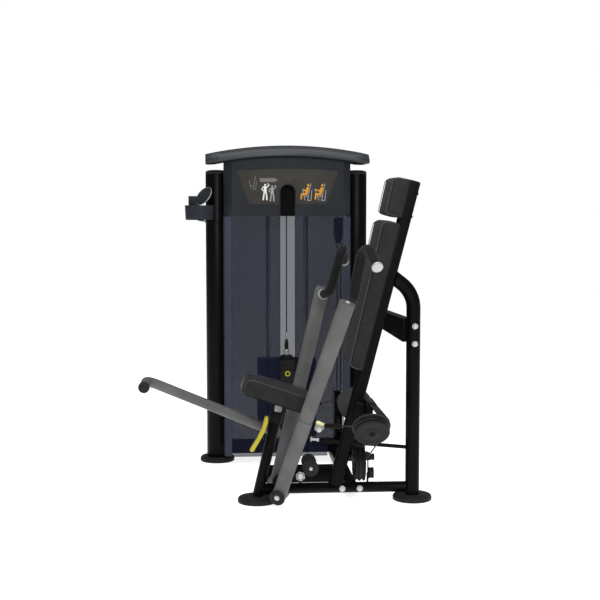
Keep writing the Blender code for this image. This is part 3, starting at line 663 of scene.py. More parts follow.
def backing_board(cushion, body, margin, depth):
    """The thin board behind a cushion."""
    outline = []
    length, half, corner = cushion.length, cushion.half - margin, 0.024
    for su, sy, first in ((1, 1, 0.0), (-1, 1, 0.5), (-1, -1, 1.0), (1, -1, 1.5)):
        for i in range(7):
            a = math.pi * (first + i / 12)
            outline.append((length / 2 + su * (length / 2 - margin - corner) + corner * math.cos(a),
                sy * (half - corner) + corner * math.sin(a)))
    rings = [[cushion.point(u, y, w) for u, y in outline] for w in (-depth, 0.0015)]
    return place(soften(loft(cushion.name + "_board", rings), 0.0015), body, "edge_trim")


def build_cushions():
    root, seat = BODY["back_pad"], BODY["seat_pad"]
    back = Cushion("back_cushion", "back_pad", [station(0.211, 0, 0.63), station(0.361, 0, 1.283),
        station(0.4365, 0, 1.262), station(0.2695, 0, 0.609)], 0.15, 0.03, 0.022, 0.012, 3.0)
    back.build(root)
    head = Cushion("head_cushion", "head_pad", [station(0.372, 0, 1.299), station(0.4095, 0, 1.47),
        station(0.484, 0, 1.455), station(0.4425, 0, 1.28)], 0.125, 0.026, 0.014, 0.012, 3.0)
    head.build(root)
    tilt = math.radians(17.5)
    along = Vector((math.cos(tilt), 0, -math.sin(tilt)))
    normal = Vector((math.sin(tilt), 0, math.cos(tilt)))
    top = station(-0.0935, 0, 0.5355)
    nose, rear = top - along * 0.1575, top + along * 0.1575
    seat_form = Cushion("seat_cushion", "seat_pad", [rear, nose, nose - normal * 0.07, rear
        - normal * 0.07], 0.156, 0.032, 0.018, 0.018, 3.0, 0.35)
    seat_form.build(seat)
    return back, head, seat_form


# ---- press arms
# how far each arm's top lies behind and above its pivot, and its handle's knee and two bends
ARM_SHAPES = {"left": (0.262, 0.881, 0.11, ((0.254, -0.322, 1.204), (0.29, -0.484, 1.086))),
    "right": (0.244, 0.874, 0.08, ((0.24, -0.322, 1.175), (0.256, -0.484, 1.062))),}


def build_press_arm(side):
    sign = 1 if side == "left" else -1
    body = BODY["press_arm_" + side]
    pivot, hinge = joint_frame(side + "_arm_press")
    inward = -hinge if side == "left" else hinge
    if inward.y * sign < 0:
        inward.negate()
    reach, rise_z, knee, bend = ARM_SHAPES[side]
    along = Vector((reach, -0.35 * sign, rise_z))
    inward = (inward - along * inward.dot(along) / along.length_squared).normalized()
    lower, upper, seam = (0.062, 0.048), (0.069, 0.045), 0.405

    def section(size, grow=0.0):
        return [(v, u) for u, v in oval(size[0] + grow, size[1] + grow, 56, 2.6)]

    def piece(name, levels, *replaced):
        path = [pivot + along * t for t, _, _ in levels]
        rings = []
        for (t, size, grow), point in zip(levels, path):
            first, second = axis_frame(along, inward)
            rings.append([point + first * u + second * v for u, v in section(size, grow)])
        return place(soften(loft(name, rings), 0.0009, 2, 40), body, "arm_grey", *replaced)

    piece("arm_lower_tube_" + side, [(0.0, lower, 0.0), (seam - 0.002, lower, 0.003),
        (seam, lower, 0.0015)], "press_arm_" + side)
    piece("arm_upper_tube_" + side, [(seam + 0.0004, lower, -0.003), (seam + 0.012, upper, -0.006),
        (0.75, upper, -0.001), (1.0, upper, 0.0)])
    top = pivot + along
    rise = along.normalized()
    plug_rings = [[top + rise * h + a * u + b * v for u, v in section(upper, g)] for h,
        g in ((-0.004, -0.006), (0.0004, -0.006), (0.0012, -0.0075)) for a,
        b in (axis_frame(along, inward),)]
    place(loft("arm_end_plug_" + side, plug_rings), body, "arm_grey")
    bolt("arm_end_bolt_" + side, body, top + rise * 0.0008 + inward * 0.004, rise, 0.0065, 0.004, 32, 1.5)

    spun("arm_hub_" + side, body, "arm_grey", pivot, inward, [(0, -30), (32, -30), (34, -28), (34, 28),
        (32, 30), (0, 30)], 56)
    for name, face in (("outer", -inward), ("inner", inward)):
        spun("arm_hub_cap_%s_%s" % (name, side), body, "black_rubber", pivot, face, [(12.5, 29), (34.5, 29),
            (35.5, 30.5), (35.5, 34.5), (33.5, 36.5), (15, 37.2), (12.5, 35.2)], 56, True)
    bolt("arm_hub_bolt_" + side, body, pivot - inward * 0.033, -inward, 0.0105, 0.006, 6, 1.18)

    root = pivot + along * 0.962 + inward * (upper[1] / 2 + 0.0006)
    corners = [root, root + inward * knee]
    corners += [station(x, y * sign, z) for x, y, z in bend]
    path = round_corners(corners, 0.058, 14)
    place(tube("handle_tube_" + side, path, 0.0125, 24, hint=RIGHT), body, "chrome_steel", "handle_" + side)
    build_grip("handle_grip_" + side, path, body)
    out = (path[-1] - path[-2]).normalized()
    spun("handle_cap_" + side, body, "cap_silver", path[-1], out, [(0, -10), (22.8, -10), (24, -9),
        (24.4, -3), (23.2, 0.6), (21.2, 1.4), (19.6, 0.2), (0, 0.4)], 48)
    spun("handle_collar_" + side, body, "cap_silver", path[0], inward, [(0, -2), (25.6, -2), (26.2, -1),
        (26.2, 4.5), (25, 6.2), (0, 6.2)], 48)
    build_arm_clevis(side, sign, body)


def build_grip(name, path, body):
    """A thick rubber sleeve over the handle, a little narrower at both ends."""
    total = [0.0]
    for a, b in zip(path, path[1:]):
        total.append(total[-1] + (b - a).length)
    count = 90
    first, last = 0.006, total[-1] - 0.014
    points, scales = [], []
    for i in range(count + 1):
        want = first + (last - first) * i / count
        k = max(j for j in range(len(total)) if total[j] <= want + 1e-9)
        k = min(k, len(path) - 2)
        t = (want - total[k]) / max(total[k + 1] - total[k], 1e-9)
        points.append(path[k].lerp(path[k + 1], min(t, 1.0)))
        end = min(want - first, last - want)
        scales.append(0.93 if end < 0.0008 else 1.0)
    place(sweep(name, points, oval(0.0445, 0.0445, 40), hint=RIGHT, scales=scales), body, "grip_foam")


def build_arm_clevis(side, sign, body):
    """A yellow zinc fork behind the arm, its pin and nut, and the cable's sleeve."""
    eye = station(0.06, -0.246 * sign, 0.391)
    wheel, spin = joint_frame(side + "_arm_pulley_spin")
    if spin.z > 0:
        spin.negate()
    upward = Vector((0.0, -0.62 * sign, 0.78)).normalized()
    reach = 0.077 + 0.003 + 0.0006
    touch = wheel - Vector((0.943 * reach, 0, 0)) + upward * (0.334 * reach)
    pull = (touch - eye).normalized()
    strap = ((0.056, 0.404), (0.06, 0.411), (0.07, 0.411), (0.108, 0.396), (0.108, 0.387))
    plate = ((0.05, 0.378), (0.056, 0.403), (0.096, 0.391), (0.088, 0.376), (0.058, 0.37))
    for name, y, finish, shape in (("strap_near", -0.266, "passivated", strap),
            ("strap_far", -0.238, "passivated", strap), ("plate", -0.258, "dull_steel", plate)):
        place(soften(loft("clevis_%s_%s" % (name, side),
            [[station(x, (y + step) * sign, z) for x, z in shape] for step in (-0.002, 0.002)]), 0.0008),
            body, finish)
    spun("clevis_pin_" + side, body, "zinc", station(0.07, -0.252 * sign, 0.376), BACK,
        [(0, -20), (4.5, -20), (4.5, 18), (0, 18)], 20)
    bolt("clevis_nut_" + side, body, station(0.07, -0.2605 * sign, 0.376), (0, -sign, 0), 0.0085, 0.008, 6,
        1.3)
    grip = 0.07 if side == "left" else 0.03
    place(turned("cable_sleeve_" + side, [(0, 0.042), (0.0095, 0.042), (0.011, 0.045),
        (0.011, 0.042 + grip), (0.0085, 0.05 + grip), (0.0034, 0.054 + grip), (0, 0.054 + grip)], eye, pull,
        28), body, "edge_trim", slot="cable_black")
    count = 14
    begin = eye + pull * 0.1
    line = [begin.lerp(touch, i / count) for i in range(count + 1)]
    arc = []
    first = (touch - wheel).normalized()
    second = first.cross(spin).normalized()
    if second.dot(pull) < 0:
        second.negate()
    start = (touch - wheel).length
    for i in range(1, 15):
        a = math.pi * i / 14 * 0.62
        radius = start + (0.0735 - start) * min(1.0, i / 5)
        arc.append(wheel + (first * math.cos(a) + second * math.sin(a)) * radius)
    cable = tube("arm_cable_run_" + side, line, 0.003, 14)
    cable.data.materials.append(MAT["cable_black"])
    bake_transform(cable)
    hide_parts("arm_cable_" + side)
    place(tube("arm_cable_wrap_" + side, [touch] + arc, 0.003, 14), "root", "cable_black")


# ---- header and its placard
def flat_shapes(name, shapes, level, finish):
    """Flat XZ shapes, each a list of (x, z), printed on the header at the given Y."""
    bm = bmesh.new()
    for i, shape in enumerate(shapes):
        y = level - i * 0.00001
        front = [bm.verts.new(tower(x, y - 0.0003, z)) for x, z in shape]
        back = [bm.verts.new(tower(x, y, z)) for x, z in shape]
        bm.faces.new(front)
        bm.faces.new(reversed(back))
        for a in range(len(shape)):
            b = (a + 1) % len(shape)
            bm.faces.new((front[a], back[a], back[b], front[b]))
    return place(to_object(name, bm), "root", finish)


def disc_shape(x, z, radius, count=18):
    return [(x + radius * math.cos(2 * math.pi * i / count), z + radius * math.sin(2 * math.pi * i / count))
        for i in range(count)]


def stroke(points, wide):
    """Rounded strokes through the points."""
    shapes = [disc_shape(x, z, wide / 2, 12) for x, z in points]
    for (x0, z0), (x1, z1) in zip(points, points[1:]):
        length = math.hypot(x1 - x0, z1 - z0)
        nx, nz = -(z1 - z0) / length * wide / 2, (x1 - x0) / length * wide / 2
        shapes.append([(x0 + nx, z0 + nz), (x1 + nx, z1 + nz), (x1 - nx, z1 - nz), (x0 - nx, z0 - nz)])
    return shapes


def pictogram(kind, x, z, tall, reach):
    """A plain figure or machine outline; reach is how far the hands or the lever press."""
    head, limbs = {"standing": ((0, 0.93, 0.062), ((0.09, (-0.1, 0.8), (0.1, 0.8)),
        (0.17, (0, 0.78), (0, 0.52)), (0.055, (-0.14, 0.8), (-0.22, 0.66), (-0.1, 0.55)),
        (0.055, (0.14, 0.8), (0.24, 0.92), (0.16, 1)), (0.085, (-0.05, 0.5), (-0.09, 0.26), (-0.12, 0.02)),
        (0.085, (0.05, 0.5), (0.09, 0.26), (0.1, 0.02)))), "seated": ((0.16, 0.93, 0.075),
        ((0.17, (0.13, 0.74), (0.02, 0.36)), (0.12, (0, 0.34), (-0.26, 0.36)),
        (0.1, (-0.27, 0.35), (-0.3, 0.05)), (0.065, (0.1, 0.72), (-0.04 - 0.3 * reach, 0.56),
        (-0.1 - reach, 0.66)))), "machine": (None, ((0.042, (0.3, 0.98), (0.14, 0.26), (-0.12, 0.22)),
        (0.042, (0.16, 0.24), (0.1, 0), (0.3, 0), (0.36, 0.6)), (0.042, (-0.16 - reach, 0.66),
        (-0.06, 0.02)))),}[kind]
    shapes = []
    if head:
        shapes.append(disc_shape(x + head[0] * tall, z + head[1] * tall, head[2] * tall))
    for wide, *points in limbs:
        shapes += stroke([(x + u * tall, z + v * tall) for u, v in points], wide * tall)
    return shapes


def build_header():
    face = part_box("header_placard")[0].y - TOWER.y
    for name, kind, x, z, tall, reach, proud, finish in (("front", "standing", -0.115, 1.364, 0.082, 0, 0.1,
            "print_white"), ("back", "standing", -0.079, 1.358, 0.08, 0, 0.1, "print_grey"),
            ("press_start", "seated", 0.092, 1.366, 0.078, 0.02, 0.1, "print_amber"),
            ("press_end", "seated", 0.164, 1.366, 0.078, 0.16, 0.1, "print_amber"),
            ("machine_start", "machine", 0.092, 1.362, 0.086, 0.02, -0.1, "print_grey"),
            ("machine_end", "machine", 0.164, 1.362, 0.086, 0.14, -0.1, "print_grey"),
            ("outline", "machine", -0.184, 1.418, 0.068, 0, 0.4, "print_faint")):
        flat_shapes("pictogram_" + name, pictogram(kind, x, z, tall, reach), face - proud / 1000, finish)
    flat_shapes("pictogram_band", [[(-0.142, 1.475), (-0.068, 1.475), (-0.05, 1.465), (-0.068, 1.455),
        (-0.142, 1.455)]], face - 0.0001, "print_faint")

    rim = [(-0.2035, 1.352), (-0.193, 1.3425), (-0.0485, 1.3425)]
    left = rim[::-1] + [(-0.2645, 1.5145), (-0.131, 1.5228), (0.0, 1.5252)]
    right = [(-x, z) for x, z in left]
    for name, line in (("left", left), ("right", right)):
        path = [tower(x, face + 0.0024, z) for x, z in line]
        place(sweep("placard_rim_" + name, path, oval(0.0022, 0.0022, 10), hint=BACK), "root", "header_edge")

    half, top, low = 0.0385, 1.4425, 1.2812
    arch = [(half, low)] + [(half * math.cos(math.pi * i / 20), top - half
        + half * math.sin(math.pi * i / 20)) for i in range(21)]
    arch += [(-half, low)]
    path = [tower(x * 1.02, HEADER_Y - 0.0008, z) for x, z in arch]
    place(sweep("notch_lip", path, oval(0.0042, 0.0042, 12), hint=BACK), "root", "header_plastic")
    inner = [(x * 0.985, z if z > low + 0.01 else low) for x, z in arch]
    rings = [[tower(x, y, z) for x, z in inner] for y in (HEADER_Y + 0.0042, HEADER_Y + 0.046)]
    bm = bmesh.new()
    loops = [[bm.verts.new(p) for p in ring] for ring in rings]
    for a in range(len(inner) - 1):
        bm.faces.new((loops[0][a], loops[0][a + 1], loops[1][a + 1], loops[1][a]))
    bm.faces.new(loops[1])
    well = to_object("notch_painted_shade_well", bm)
    thick = well.modifiers.new("wall", "SOLIDIFY")
    thick.thickness, thick.offset = 0.0016, 0.0
    apply_modifiers(well)
    # the notch's well is near-black: painted shade inside the slot
    place(well, "root", "painted_shade_hole")


# ---- cup holder
def build_cup_holder():
    """An oval tray beside the left upright with a tilted round rest and a small tab."""
    low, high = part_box("cup_holder")
    middle_x, middle_y = (low.x + high.x) / 2 - TOWER.x, (low.y + high.y) / 2 - TOWER.y
    base, top = low.z, high.z
    rx, ry = (high.x - low.x) / 2, (high.y - low.y) / 2
    count = 72
    levels = [(0.0, 0.925), (0.004, 0.955), (0.02, 0.968), (top - base - 0.003, 0.998), (top - base, 0.99)]
    def ring(height, grow, wall=0.0):
        points = []
        for i in range(count):
            a = 2 * math.pi * i / count
            c, s = math.cos(a), math.sin(a)
            x = math.copysign(abs(c) ** 0.86, c) * (rx * grow - wall)
            y = math.copysign(abs(s) ** 0.86, s) * (ry * grow - wall)
            points.append(tower(middle_x + x, middle_y + y, base + height))
        return points
    rings = [ring(h, g) for h, g in levels]
    rings += [ring(top - base, 0.99, 0.0032), ring(0.02, 0.968, 0.0036), ring(0.0045, 0.93, 0.006)]
    place(soften(loft("cup_tray", rings), 0.0008, 2, 30), "root", "tray_plastic", "cup_holder")

    lean = Vector((0.62, 0.05, 0.78)).normalized()
    depth = Vector((-0.42, 0.84, 0.3)).normalized()
    centre = tower(-0.427, -0.088, 1.384)
    spun("cup_rest", "root", "tray_plastic", centre, lean.cross(depth).normalized(),
        [(0, -2), (51, -2), (52, -1.2), (52, 1.2), (51, 2), (0, 2)], 64)
    place(hoop("cup_rest_rim", centre, lean, depth, 0.0524, 0.0013, 0.0026, 64, 8), "root", "cap_silver")

    for name, x0, x1, z0, z1, y in (("cup_tab", -0.505, -0.448, 1.332, 1.384, -0.081),
            ("cup_prop", -0.47, -0.458, 1.3, 1.352, -0.07)):
        place(soften(loft(name, [[tower(x0, yy, z0), tower(x1, yy, z0), tower(x1, yy, z1),
            tower(x0, yy, z1)] for yy in (y, y + 0.006)]), 0.0012), "root", "tray_plastic")
    spun("cup_clamp", "root", "frame_black", tower(-0.364, 0, 1.252), UP, [(54.3, -7), (56.2, -7),
        (56.8, -6), (56.8, 6), (56.2, 7), (54.3, 7)], 64, True)
    flat_bar("cup_bracket", tower(-0.416, -0.04, 1.254), tower(-0.446, -0.09, 1.2605), 0.03, 0.004, "root",
        "frame_black", hint=(1, -0.6, 0))


# ---- tower fittings
def build_tower_details():
    carriage = BODY["weight_top_plate"]
    for side, x in (("left", ROD_LEFT.x), ("right", ROD_RIGHT.x)):
        foot = Vector((x, TOWER.y, 0))
        stack_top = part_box("weight_plate_1")[1].z
        spun("rod_boot_" + side, carriage, "black_rubber", foot + Vector((0, 0, stack_top + 0.0004)), UP,
            [(11.5, 0), (18.5, 0), (18.5, 18), (16.5, 21), (11.5, 21)], 32, True)
        spun("rod_clip_" + side, "root", "black_rubber", foot + Vector((0, 0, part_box("tower_top_beam")[0].z
            - 0.019)), UP, [(11.2, 0), (20, 0), (21, 2), (21, 15), (19, 18), (11.2, 18)], 32, True)
    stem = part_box("selector_stem")
    centre = tower(0, 0, stem[1].z)
    place(soften(turned("stem_nut", [(0, -0.014), (0.0155, -0.014), (0.0155, 0.0), (0.0135, 0.0015),
        (0, 0.0015)], centre, UP, 6), 0.0006, 2, 25), carriage, "zinc")
    spun("cable_clip", carriage, "black_rubber", centre, UP, [(0, 1), (8.5, 2), (10.5, 10), (10.5, 34),
        (7.5, 42), (5, 58), (0, 60)], 28)
    spun("cable_ferrule", carriage, "zinc", centre, UP, [(3.1, 56), (5.5, 56), (6.2, 59), (6.2, 82),
        (4.5, 88), (3.1, 88)], 28, True)

    pin_low, pin_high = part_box("selector_pin")
    tip = Vector(((pin_low.x + pin_high.x) / 2, pin_low.y, (pin_low.z + pin_high.z) / 2))
    place(hoop("pin_knob_ring", tip + Vector((0, 0.004, 0)), Vector(RIGHT), Vector(UP), 0.0112, 0.0034,
        0.0034, 40, 12), BODY["selector_pin"], "yellow_plastic")
    # a near-black disc in the knob's ring: painted shade in its hole
    spun("pin_knob_hole_shade", BODY["selector_pin"], "painted_shade_hole", tip + Vector((0, -0.0002, 0)), BACK,
        [(0, -0.8), (7, -0.8), (7.4, 0), (0, 0.4)], 32)

    low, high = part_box("cable_guide")
    mid = (low + high) / 2
    for sign, name in ((-1, "left"), (1, "right")):
        bolt("cable_guide_bolt_" + name, "root", Vector((mid.x + sign * (high.x - low.x) / 2, mid.y - 0.004,
            low.z + 0.24 * (high.z - low.z))), (sign, 0, 0), 0.006, 0.004, 6, 1.3, "frame_black")
    place(soften(loft("cable_guide_skirt", [[Vector((mid.x + sx * w, mid.y + sy * d, z)) for sx,
        sy in ((-1, -1), (1, -1), (1, 1), (-1, 1))] for z, w, d in ((low.z + 0.001, 0.0212, 0.022),
        (low.z - 0.01, 0.018, 0.018), (low.z - 0.034, 0.0125, 0.014))]), 0.0015), "root", "frame_black")
    place(tube("return_cable", [tower(0.2845, -0.002, 1.2), tower(0.2845, -0.002, 0.36)], 0.0028, 12,
        hint=BACK), "root", "cable_black")

    top_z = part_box("lift_cable")[1].z
    foot_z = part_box("lift_cable")[0].z
    steps = 26
    line = [tower(0, 0, foot_z + (top_z - foot_z) * i / steps) for i in range(steps + 1)]
    rope = tube("lift_cable_run", line, 0.003, 14, hint=BACK)
    rope.data.materials.append(MAT["cable_black"])
    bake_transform(rope)
    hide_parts("lift_cable")

    for side, x in (("left", -0.364), ("right", 0.364)):
        for height in (0.112, 1.29):
            inward = 1 if side == "left" else -1
            bolt("upright_bolt_%s_%d" % (side, int(height * 1000)), "root",
                tower(x + inward * 0.0545 * 0.55, -0.0545 * 0.835, height), (inward * 0.55, -0.835, 0),
                0.0052, 0.003, 32, 1.3, "frame_black")
    for sign in (-1, 1):
        for height in (0.115, 0.66, 1.2):
            bolt("shroud_screw_%s_%d" % ("l" if sign < 0 else "r", int(height * 1000)), "root",
                tower(sign * 0.3225, -0.083, height), (sign * 0.94, -0.34, 0), 0.0035, 0.002, 32, 1.4,
                "frame_black")
    for sign, name in ((-1, "left"), (1, "right")):
        edge = [tower(sign * 0.0392, -0.0984, 0.052), tower(sign * 0.0392, -0.0984, 1.279)]
        section = [(-0.0034, -0.0012), (0.0034, -0.0012), (0.0034, 0.0012), (-0.0034, 0.0012)]
        place(sweep("shroud_edge_" + name, edge, section, hint=BACK), "root", "sheet_edge")
        for x in (0.102, 0.292):
            place(sweep("shroud_rib_%s_%d" % (name, int(x * 1000)),
                [tower(sign * x, -0.099, 0.054 if x < 0.2 or sign < 0 else 0.38), tower(sign * x, -0.099,
                1.277)], oval(0.0042, 0.0022, 12), hint=RIGHT), "root", "sheet_edge")
        foot = 0.04 if sign < 0 else 0.379
        bend = ((0.29, -0.1006), (0.2985, -0.1002), (0.3205, -0.0916), (0.3282, -0.0702))
        place(loft("shroud_flange_" + name, [[tower(sign * x, y, z) for x, y in bend]
            + [tower(sign * (x - 0.0012), y + 0.0012, z) for x, y in bend[::-1]] for z in (foot, 1.279)]),
            "root", "sheet_flange")


# ---- station fittings
def build_station_details():
    for i, x in enumerate((0.197, 0.277)):
        bolt("base_bolt_%d" % i, "root", station(x, -0.0232, 0.059), FRONT, 0.0115, 0.007, 32, 1.22)
    for i, z in enumerate((0.797, 0.717)):
        bolt("rear_bolt_%d" % i, "root", station(0.523, -0.0313, z), FRONT, 0.011, 0.007, 32, 1.22)
    low_end, high_end = station(0.1655, 0, 0.0738), station(0.516, 0, 1.441)
    rise = (high_end - low_end).normalized()
    across = Vector((rise.z, 0, -rise.x))
    rings = [[high_end + rise * h + across * u + Vector((0, v, 0)) for u, v in oval(0.0594 - 2 * g, 0.0494
        - 2 * g, 40, 5.0)] for h, g in ((0.0002, 0.0), (0.003, 0.0), (0.006, 0.002), (0.008, 0.0065),
        (0.0088, 0.013))]
    place(loft("back_tube_cap", rings), "root", "edge_trim", slot="black_rubber")
    for i, up in enumerate((1.398, 1.296, 1.042)):
        t = (up - 0.0738) / (1.441 - 0.0738)
        bolt("back_bolt_%d" % i, "root", low_end.lerp(high_end, t) + across * 0.0296, across, 0.006, 0.004,
            32, 1.3, "frame_black")
    low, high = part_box("foot_roller")
    roller = (low + high) / 2
    bolt("roller_bolt", BODY["foot_crank"], Vector((roller.x, low.y - 0.0004, roller.z)), FRONT, 0.008,
        0.006, 32, 1.1)
    spun("roller_face", BODY["foot_roller"], "black_rubber", Vector((roller.x, low.y, roller.z)), FRONT,
        [(11, -0.2), (32, -0.2), (33.5, 1.2), (31, 2.6), (12.5, 3.2), (11, 2)], 56, True)
    crank = joint_frame("crank_turn")[0]
    low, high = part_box("foot_crank")
    hub, body = Vector((crank.x, low.y, crank.z)), BODY["foot_crank"]
    spun("crank_washer", body, "frame_black", hub, FRONT, [(0, 0), (30, 0), (31, 1.2), (31, 3.5), (30, 4.5),
        (0, 4.5)], 56)
    teeth = []
    for i in range(48):
        a = 2 * math.pi * i / 48
        r = 0.0205 if (i // 4) % 2 else 0.0188
        teeth.append((r * math.cos(a), r * math.sin(a)))
    rings = [[Vector((crank.x + u, low.y - d, crank.z + v)) for u, v in teeth] for d in (0.004, 0.017)]
    place(soften(loft("crank_nut", rings), 0.0008, 2, 20), body, "zinc")
    # a near-black ring on the nut's face: painted shade in its groove
    spun("crank_nut_groove", body, "painted_shade_hole", hub, FRONT, [(14.2, 16.6), (16.8, 16.6), (16.8, 17.4),
        (14.2, 17.4)], 40, True)
    spun("crank_nut_core", body, "zinc", hub, FRONT, [(4, 16), (12.5, 16), (13.5, 18.5), (10.5, 20),
        (7.5, 18), (4, 18)], 40, True)

    collar_rise = (station(-0.0965, 0, 0.408) - station(-0.187, 0, 0.025)).normalized()
    top = station(-0.0965, 0, 0.408)
    spun("seat_post_collar", "root", "collar_plastic", top, collar_rise, [(24.2, -46), (27.8, -46),
        (28.8, -43), (28.8, 2), (27, 5.2), (20.6, 5.2), (20.6, 0.8), (24.2, 0.8)], 56, True)

    pivot, _ = joint_frame("foot_lever_press")
    end = station(-0.683, -0.17, 0.554)
    spun("foot_bar_cap", BODY["foot_lever"], "black_rubber", end, FRONT, [(0, -20), (23.8, -20),
        (24.6, -18.5), (24.6, -2), (22.5, 0.8), (0, 1.5)], 48)
    bolt("foot_lever_bolt", BODY["foot_lever"], pivot + Vector((0, -0.0225, 0)), FRONT, 0.009, 0.006, 6,
        1.5)
    build_strut()
    build_pulley_details()


def build_strut():
    """The stop bar behind the seat, its bolt, and the small rollers beside the base pulley."""
    start, end = station(0.095, -0.004, 0.281), station(0.489, -0.004, 0.243)
    flat_bar("stop_bar", start, end, 0.014, 0.022, "root", hint=UP, edge=0.0015)
    along = (end - start).normalized()
    spun("stop_bolt", "root", "zinc", start, along, [(0, -42), (9.5, -42), (10.5, -41), (10.5, -36),
        (5.5, -35.5), (5.5, -12), (8.5, -12), (8.5, -4), (0, -4)], 32)
    for i, (x, z, r) in enumerate(((0.332, 0.121, 0.026), (0.335, 0.194, 0.016))):
        place(turned("guide_roller_%d" % i, [(0.004, -0.012), (r - 0.001, -0.012), (r, -0.01),
            (r - 0.003, 0.0), (r, 0.01), (r - 0.001, 0.012), (0.004, 0.012)], station(x, 0.022, z), RIGHT,
            40, True), "root", "sheave_black")
        flat_bar("guide_roller_arm_%d" % i, station(x - 0.016, 0.022, z), station(x - 0.016, 0.022, 0.072),
            0.018, 0.004, "root", hint=BACK)
    roller = (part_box("foot_roller")[0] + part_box("foot_roller")[1]) / 2
    spun("rear_roller", BODY["foot_crank"], "black_rubber", Vector((roller.x - 0.002, roller.y + 0.085,
        roller.z + 0.012)), BACK, [(6, -20), (31, -20), (33.5, -17), (33.5, 17), (31, 20), (6, 20)], 48,
        True)
    spun("roller_shaft", BODY["foot_crank"], "zinc", Vector((roller.x, roller.y, roller.z)), BACK,
        [(0, -14), (7.5, -14), (7.5, 107), (0, 107)], 24)


def build_pulley_details():
    for side, sign in (("left", 1), ("right", -1)):
        body = BODY["arm_pulley_" + side]
        centre, axis = joint_frame(side + "_arm_pulley_spin")
        if axis.z > 0:
            axis = -axis
        outer = axis if axis.y * sign < 0 else axis
        profile = [(0.014, 0.0178), (0.073, 0.0178), (0.0755, 0.0188), (0.074, 0.0202), (0.056, 0.0212),
            (0.052, 0.0196), (0.03, 0.0196), (0.026, 0.0218), (0.014, 0.0218)]
        place(turned("arm_pulley_face_" + side, profile, centre, outer, 72, True), body, "sheave_black")
        # a near-black disc in the hub: painted shade in the socket
        spun("arm_pulley_socket_" + side, body, "painted_shade_hole", centre, outer, [(0, 15), (14.5, 15),
            (14.5, 20), (0, 20)], 40, slot="sheave_black")
        bolt("arm_pulley_bolt_" + side, "root", centre - outer * 0.0185, -outer, 0.0095, 0.006, 6, 1.4)
        # the guard plates are black; their lighter grey is painted light from the top lamp
        spun("arm_pulley_guard_" + side, "root", "guard_painted_light_grey", centre, outer, [(12, -21.5), (82, -21.5),
            (83.5, -20.5), (83.5, -19), (12, -19)], 72, True)
        # a near-black ring in the rope groove: painted shade
        spun("arm_pulley_groove_" + side, body, "painted_shade_hole", centre, outer, [(70, -15), (75.2, -15),
            (75.2, 15), (70, 15)], 72, True, slot="sheave_black")
    bolt("bracket_bolt", "root", station(0.352, 0.296, 0.395), FRONT, 0.009, 0.006, 6, 1.2)
    body = BODY["base_pulley"]
    centre, axis = joint_frame("base_pulley_spin")
    for sign in (-1, 1):
        profile = [(0.012, 0.0218), (0.0735, 0.0218), (0.076, 0.0228), (0.074, 0.024), (0.03, 0.0235),
            (0.026, 0.0255), (0.012, 0.0255)]
        side = turned("base_pulley_face_%s" % ("a" if sign < 0 else "b"), profile, centre, axis * sign, 72,
            True)
        place(side, body, "sheave_black")
        spokes = []
        for i in range(10):
            a = 2 * math.pi * i / 10
            out = Vector((0, math.cos(a), math.sin(a)))
            spoke = sweep("spoke", [centre + axis * sign * 0.0236 + out * 0.026, centre
                + axis * sign * 0.0232 + out * 0.071], oval(0.0055, 0.0045, 10), hint=tuple(axis))
            spokes.append(spoke)
        place(merged("base_pulley_spokes_%s" % ("a" if sign < 0 else "b"), spokes), body, "sheave_black")
    for side, sign in (("left", -1), ("right", 1)):
        flat_bar("bracket_flange_" + side, station(0.34, 0.012 * sign, 0.436), station(0.352, 0.292 * sign,
            0.424), 0.042, 0.004, "root", hint=(1, 0, -0.25))
        place(soften(loft("bracket_web_" + side,
            [[station(x, y * sign, z) for x, z in ((0.258, 0.462), (0.336, 0.436), (0.33, 0.368),
            (0.244, 0.402))] for y in (0.0312, 0.0362)]), 0.0012), "root", "frame_black")
    bolt("base_pulley_bolt", "root", centre + axis * 0.0262, axis, 0.0095, 0.006, 6, 1.4)
    for side, sign in (("near", -1), ("far", 1)):
        arm_wheel, _ = joint_frame(("left" if side == "near" else "right") + "_arm_pulley_spin")
        x = centre.x + (0.011 if side == "near" else -0.011)
        place(tube("cross_cable_" + side,
            [Vector((arm_wheel.x + 0.03, arm_wheel.y - sign * 0.03, arm_wheel.z - 0.062)),
            Vector((x + 0.01, centre.y + sign * 0.07, centre.z + 0.03))], 0.0029, 12), "root",
            "cable_black")


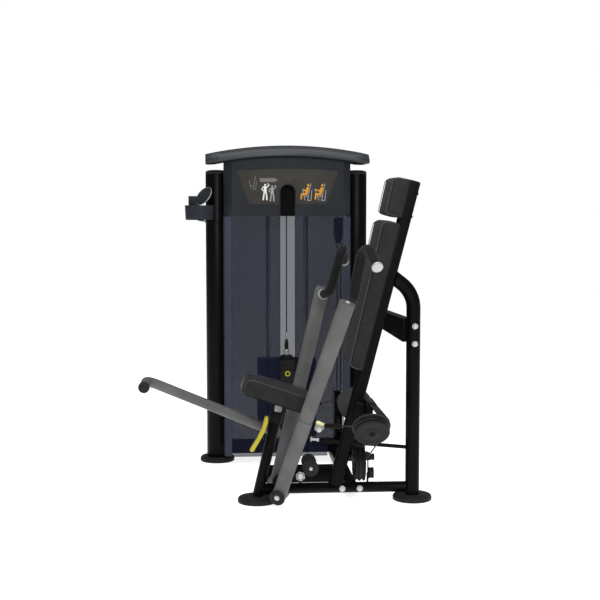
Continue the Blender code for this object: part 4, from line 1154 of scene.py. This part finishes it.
# ---- stage
def build_stage():
    floor = bpy.data.meshes.new("floor")
    size = 14.0
    floor.from_pydata([(-size, -size, 0), (size, -size, 0), (size, size, 0), (-size, size, 0)], [],
        [(0, 1, 2, 3)])
    obj = bpy.data.objects.new("floor", floor)
    bpy.context.scene.collection.objects.link(obj)
    shader = Shader("pale_floor", (0.9, 0.9, 0.9), 0.7, Emission_Strength=0.8)
    shader.bsdf.inputs["Emission Color"].default_value = (1.0, 1.0, 1.0, 1.0)
    shader.vary_roughness(shader.noise(3.0), 0.05)
    floor.materials.append(shader.material)

    world = bpy.data.worlds.new("studio")
    bpy.context.scene.world = world
    world.use_nodes = True
    tree = world.node_tree
    background = tree.nodes["Background"]
    background.inputs["Color"].default_value = (1.0, 1.0, 1.0, 1.0)
    seen = tree.nodes.new("ShaderNodeLightPath").outputs["Is Camera Ray"]
    level = tree.nodes.new("ShaderNodeMapRange")
    level.inputs["To Min"].default_value = 0.22
    level.inputs["To Max"].default_value = 1.0
    tree.links.new(seen, level.inputs["Value"])
    tree.links.new(level.outputs["Result"], background.inputs["Strength"])
    bpy.context.scene.view_settings.view_transform = "Standard"

    def area(name, place_at, aim, power, wide, tall):
        light = bpy.data.lights.new(name, "AREA")
        light.shape = "RECTANGLE"
        light.size, light.size_y = wide, tall
        light.energy = power
        lamp = bpy.data.objects.new(name, light)
        lamp.location = place_at
        lamp.rotation_euler = (Vector(aim) - Vector(place_at)).to_track_quat("-Z", "Y").to_euler()
        bpy.context.scene.collection.objects.link(lamp)

    area("key", (0.6, -5.6, 3.2), (0, 0, 0.8), 205.0, 2.8, 2.2)
    area("fill", (-3.6, -1.2, 2.6), (0, 0, 0.8), 4.0, 2.0, 2.4)
    area("top", (0.0, 0.2, 4.2), (0, 0, 0), 80.0, 3.0, 2.0)


SENSOR_MM, LENS_MM = 36.0, 72.27
CAMERA_PLACE, CAMERA_TILT, CAMERA_TURN = (-0.3785, -6.2639, 1.3583), 4.695, 4.1034


def build_camera():
    """A long lens, a little above the machine's middle, almost square to the tower's front."""
    data = bpy.data.cameras.new("camera")
    data.sensor_width, data.lens = SENSOR_MM, LENS_MM
    camera = bpy.data.objects.new("camera", data)
    camera.location = tower(*CAMERA_PLACE)
    camera.rotation_euler = (math.radians(90 - CAMERA_TILT), 0.0, -math.radians(CAMERA_TURN))
    bpy.context.scene.collection.objects.link(camera)
    bpy.context.scene.camera = camera


build_camera()
carry_all()
for cushion, margin in zip(build_cushions(), (0.008, 0.008, 0.02)):
    backing_board(cushion, BODY[cushion.node], margin, 0.006)
for arm_side in ("left", "right"):
    build_press_arm(arm_side)
build_header()
build_cup_holder()
build_tower_details()
build_station_details()
build_stage()
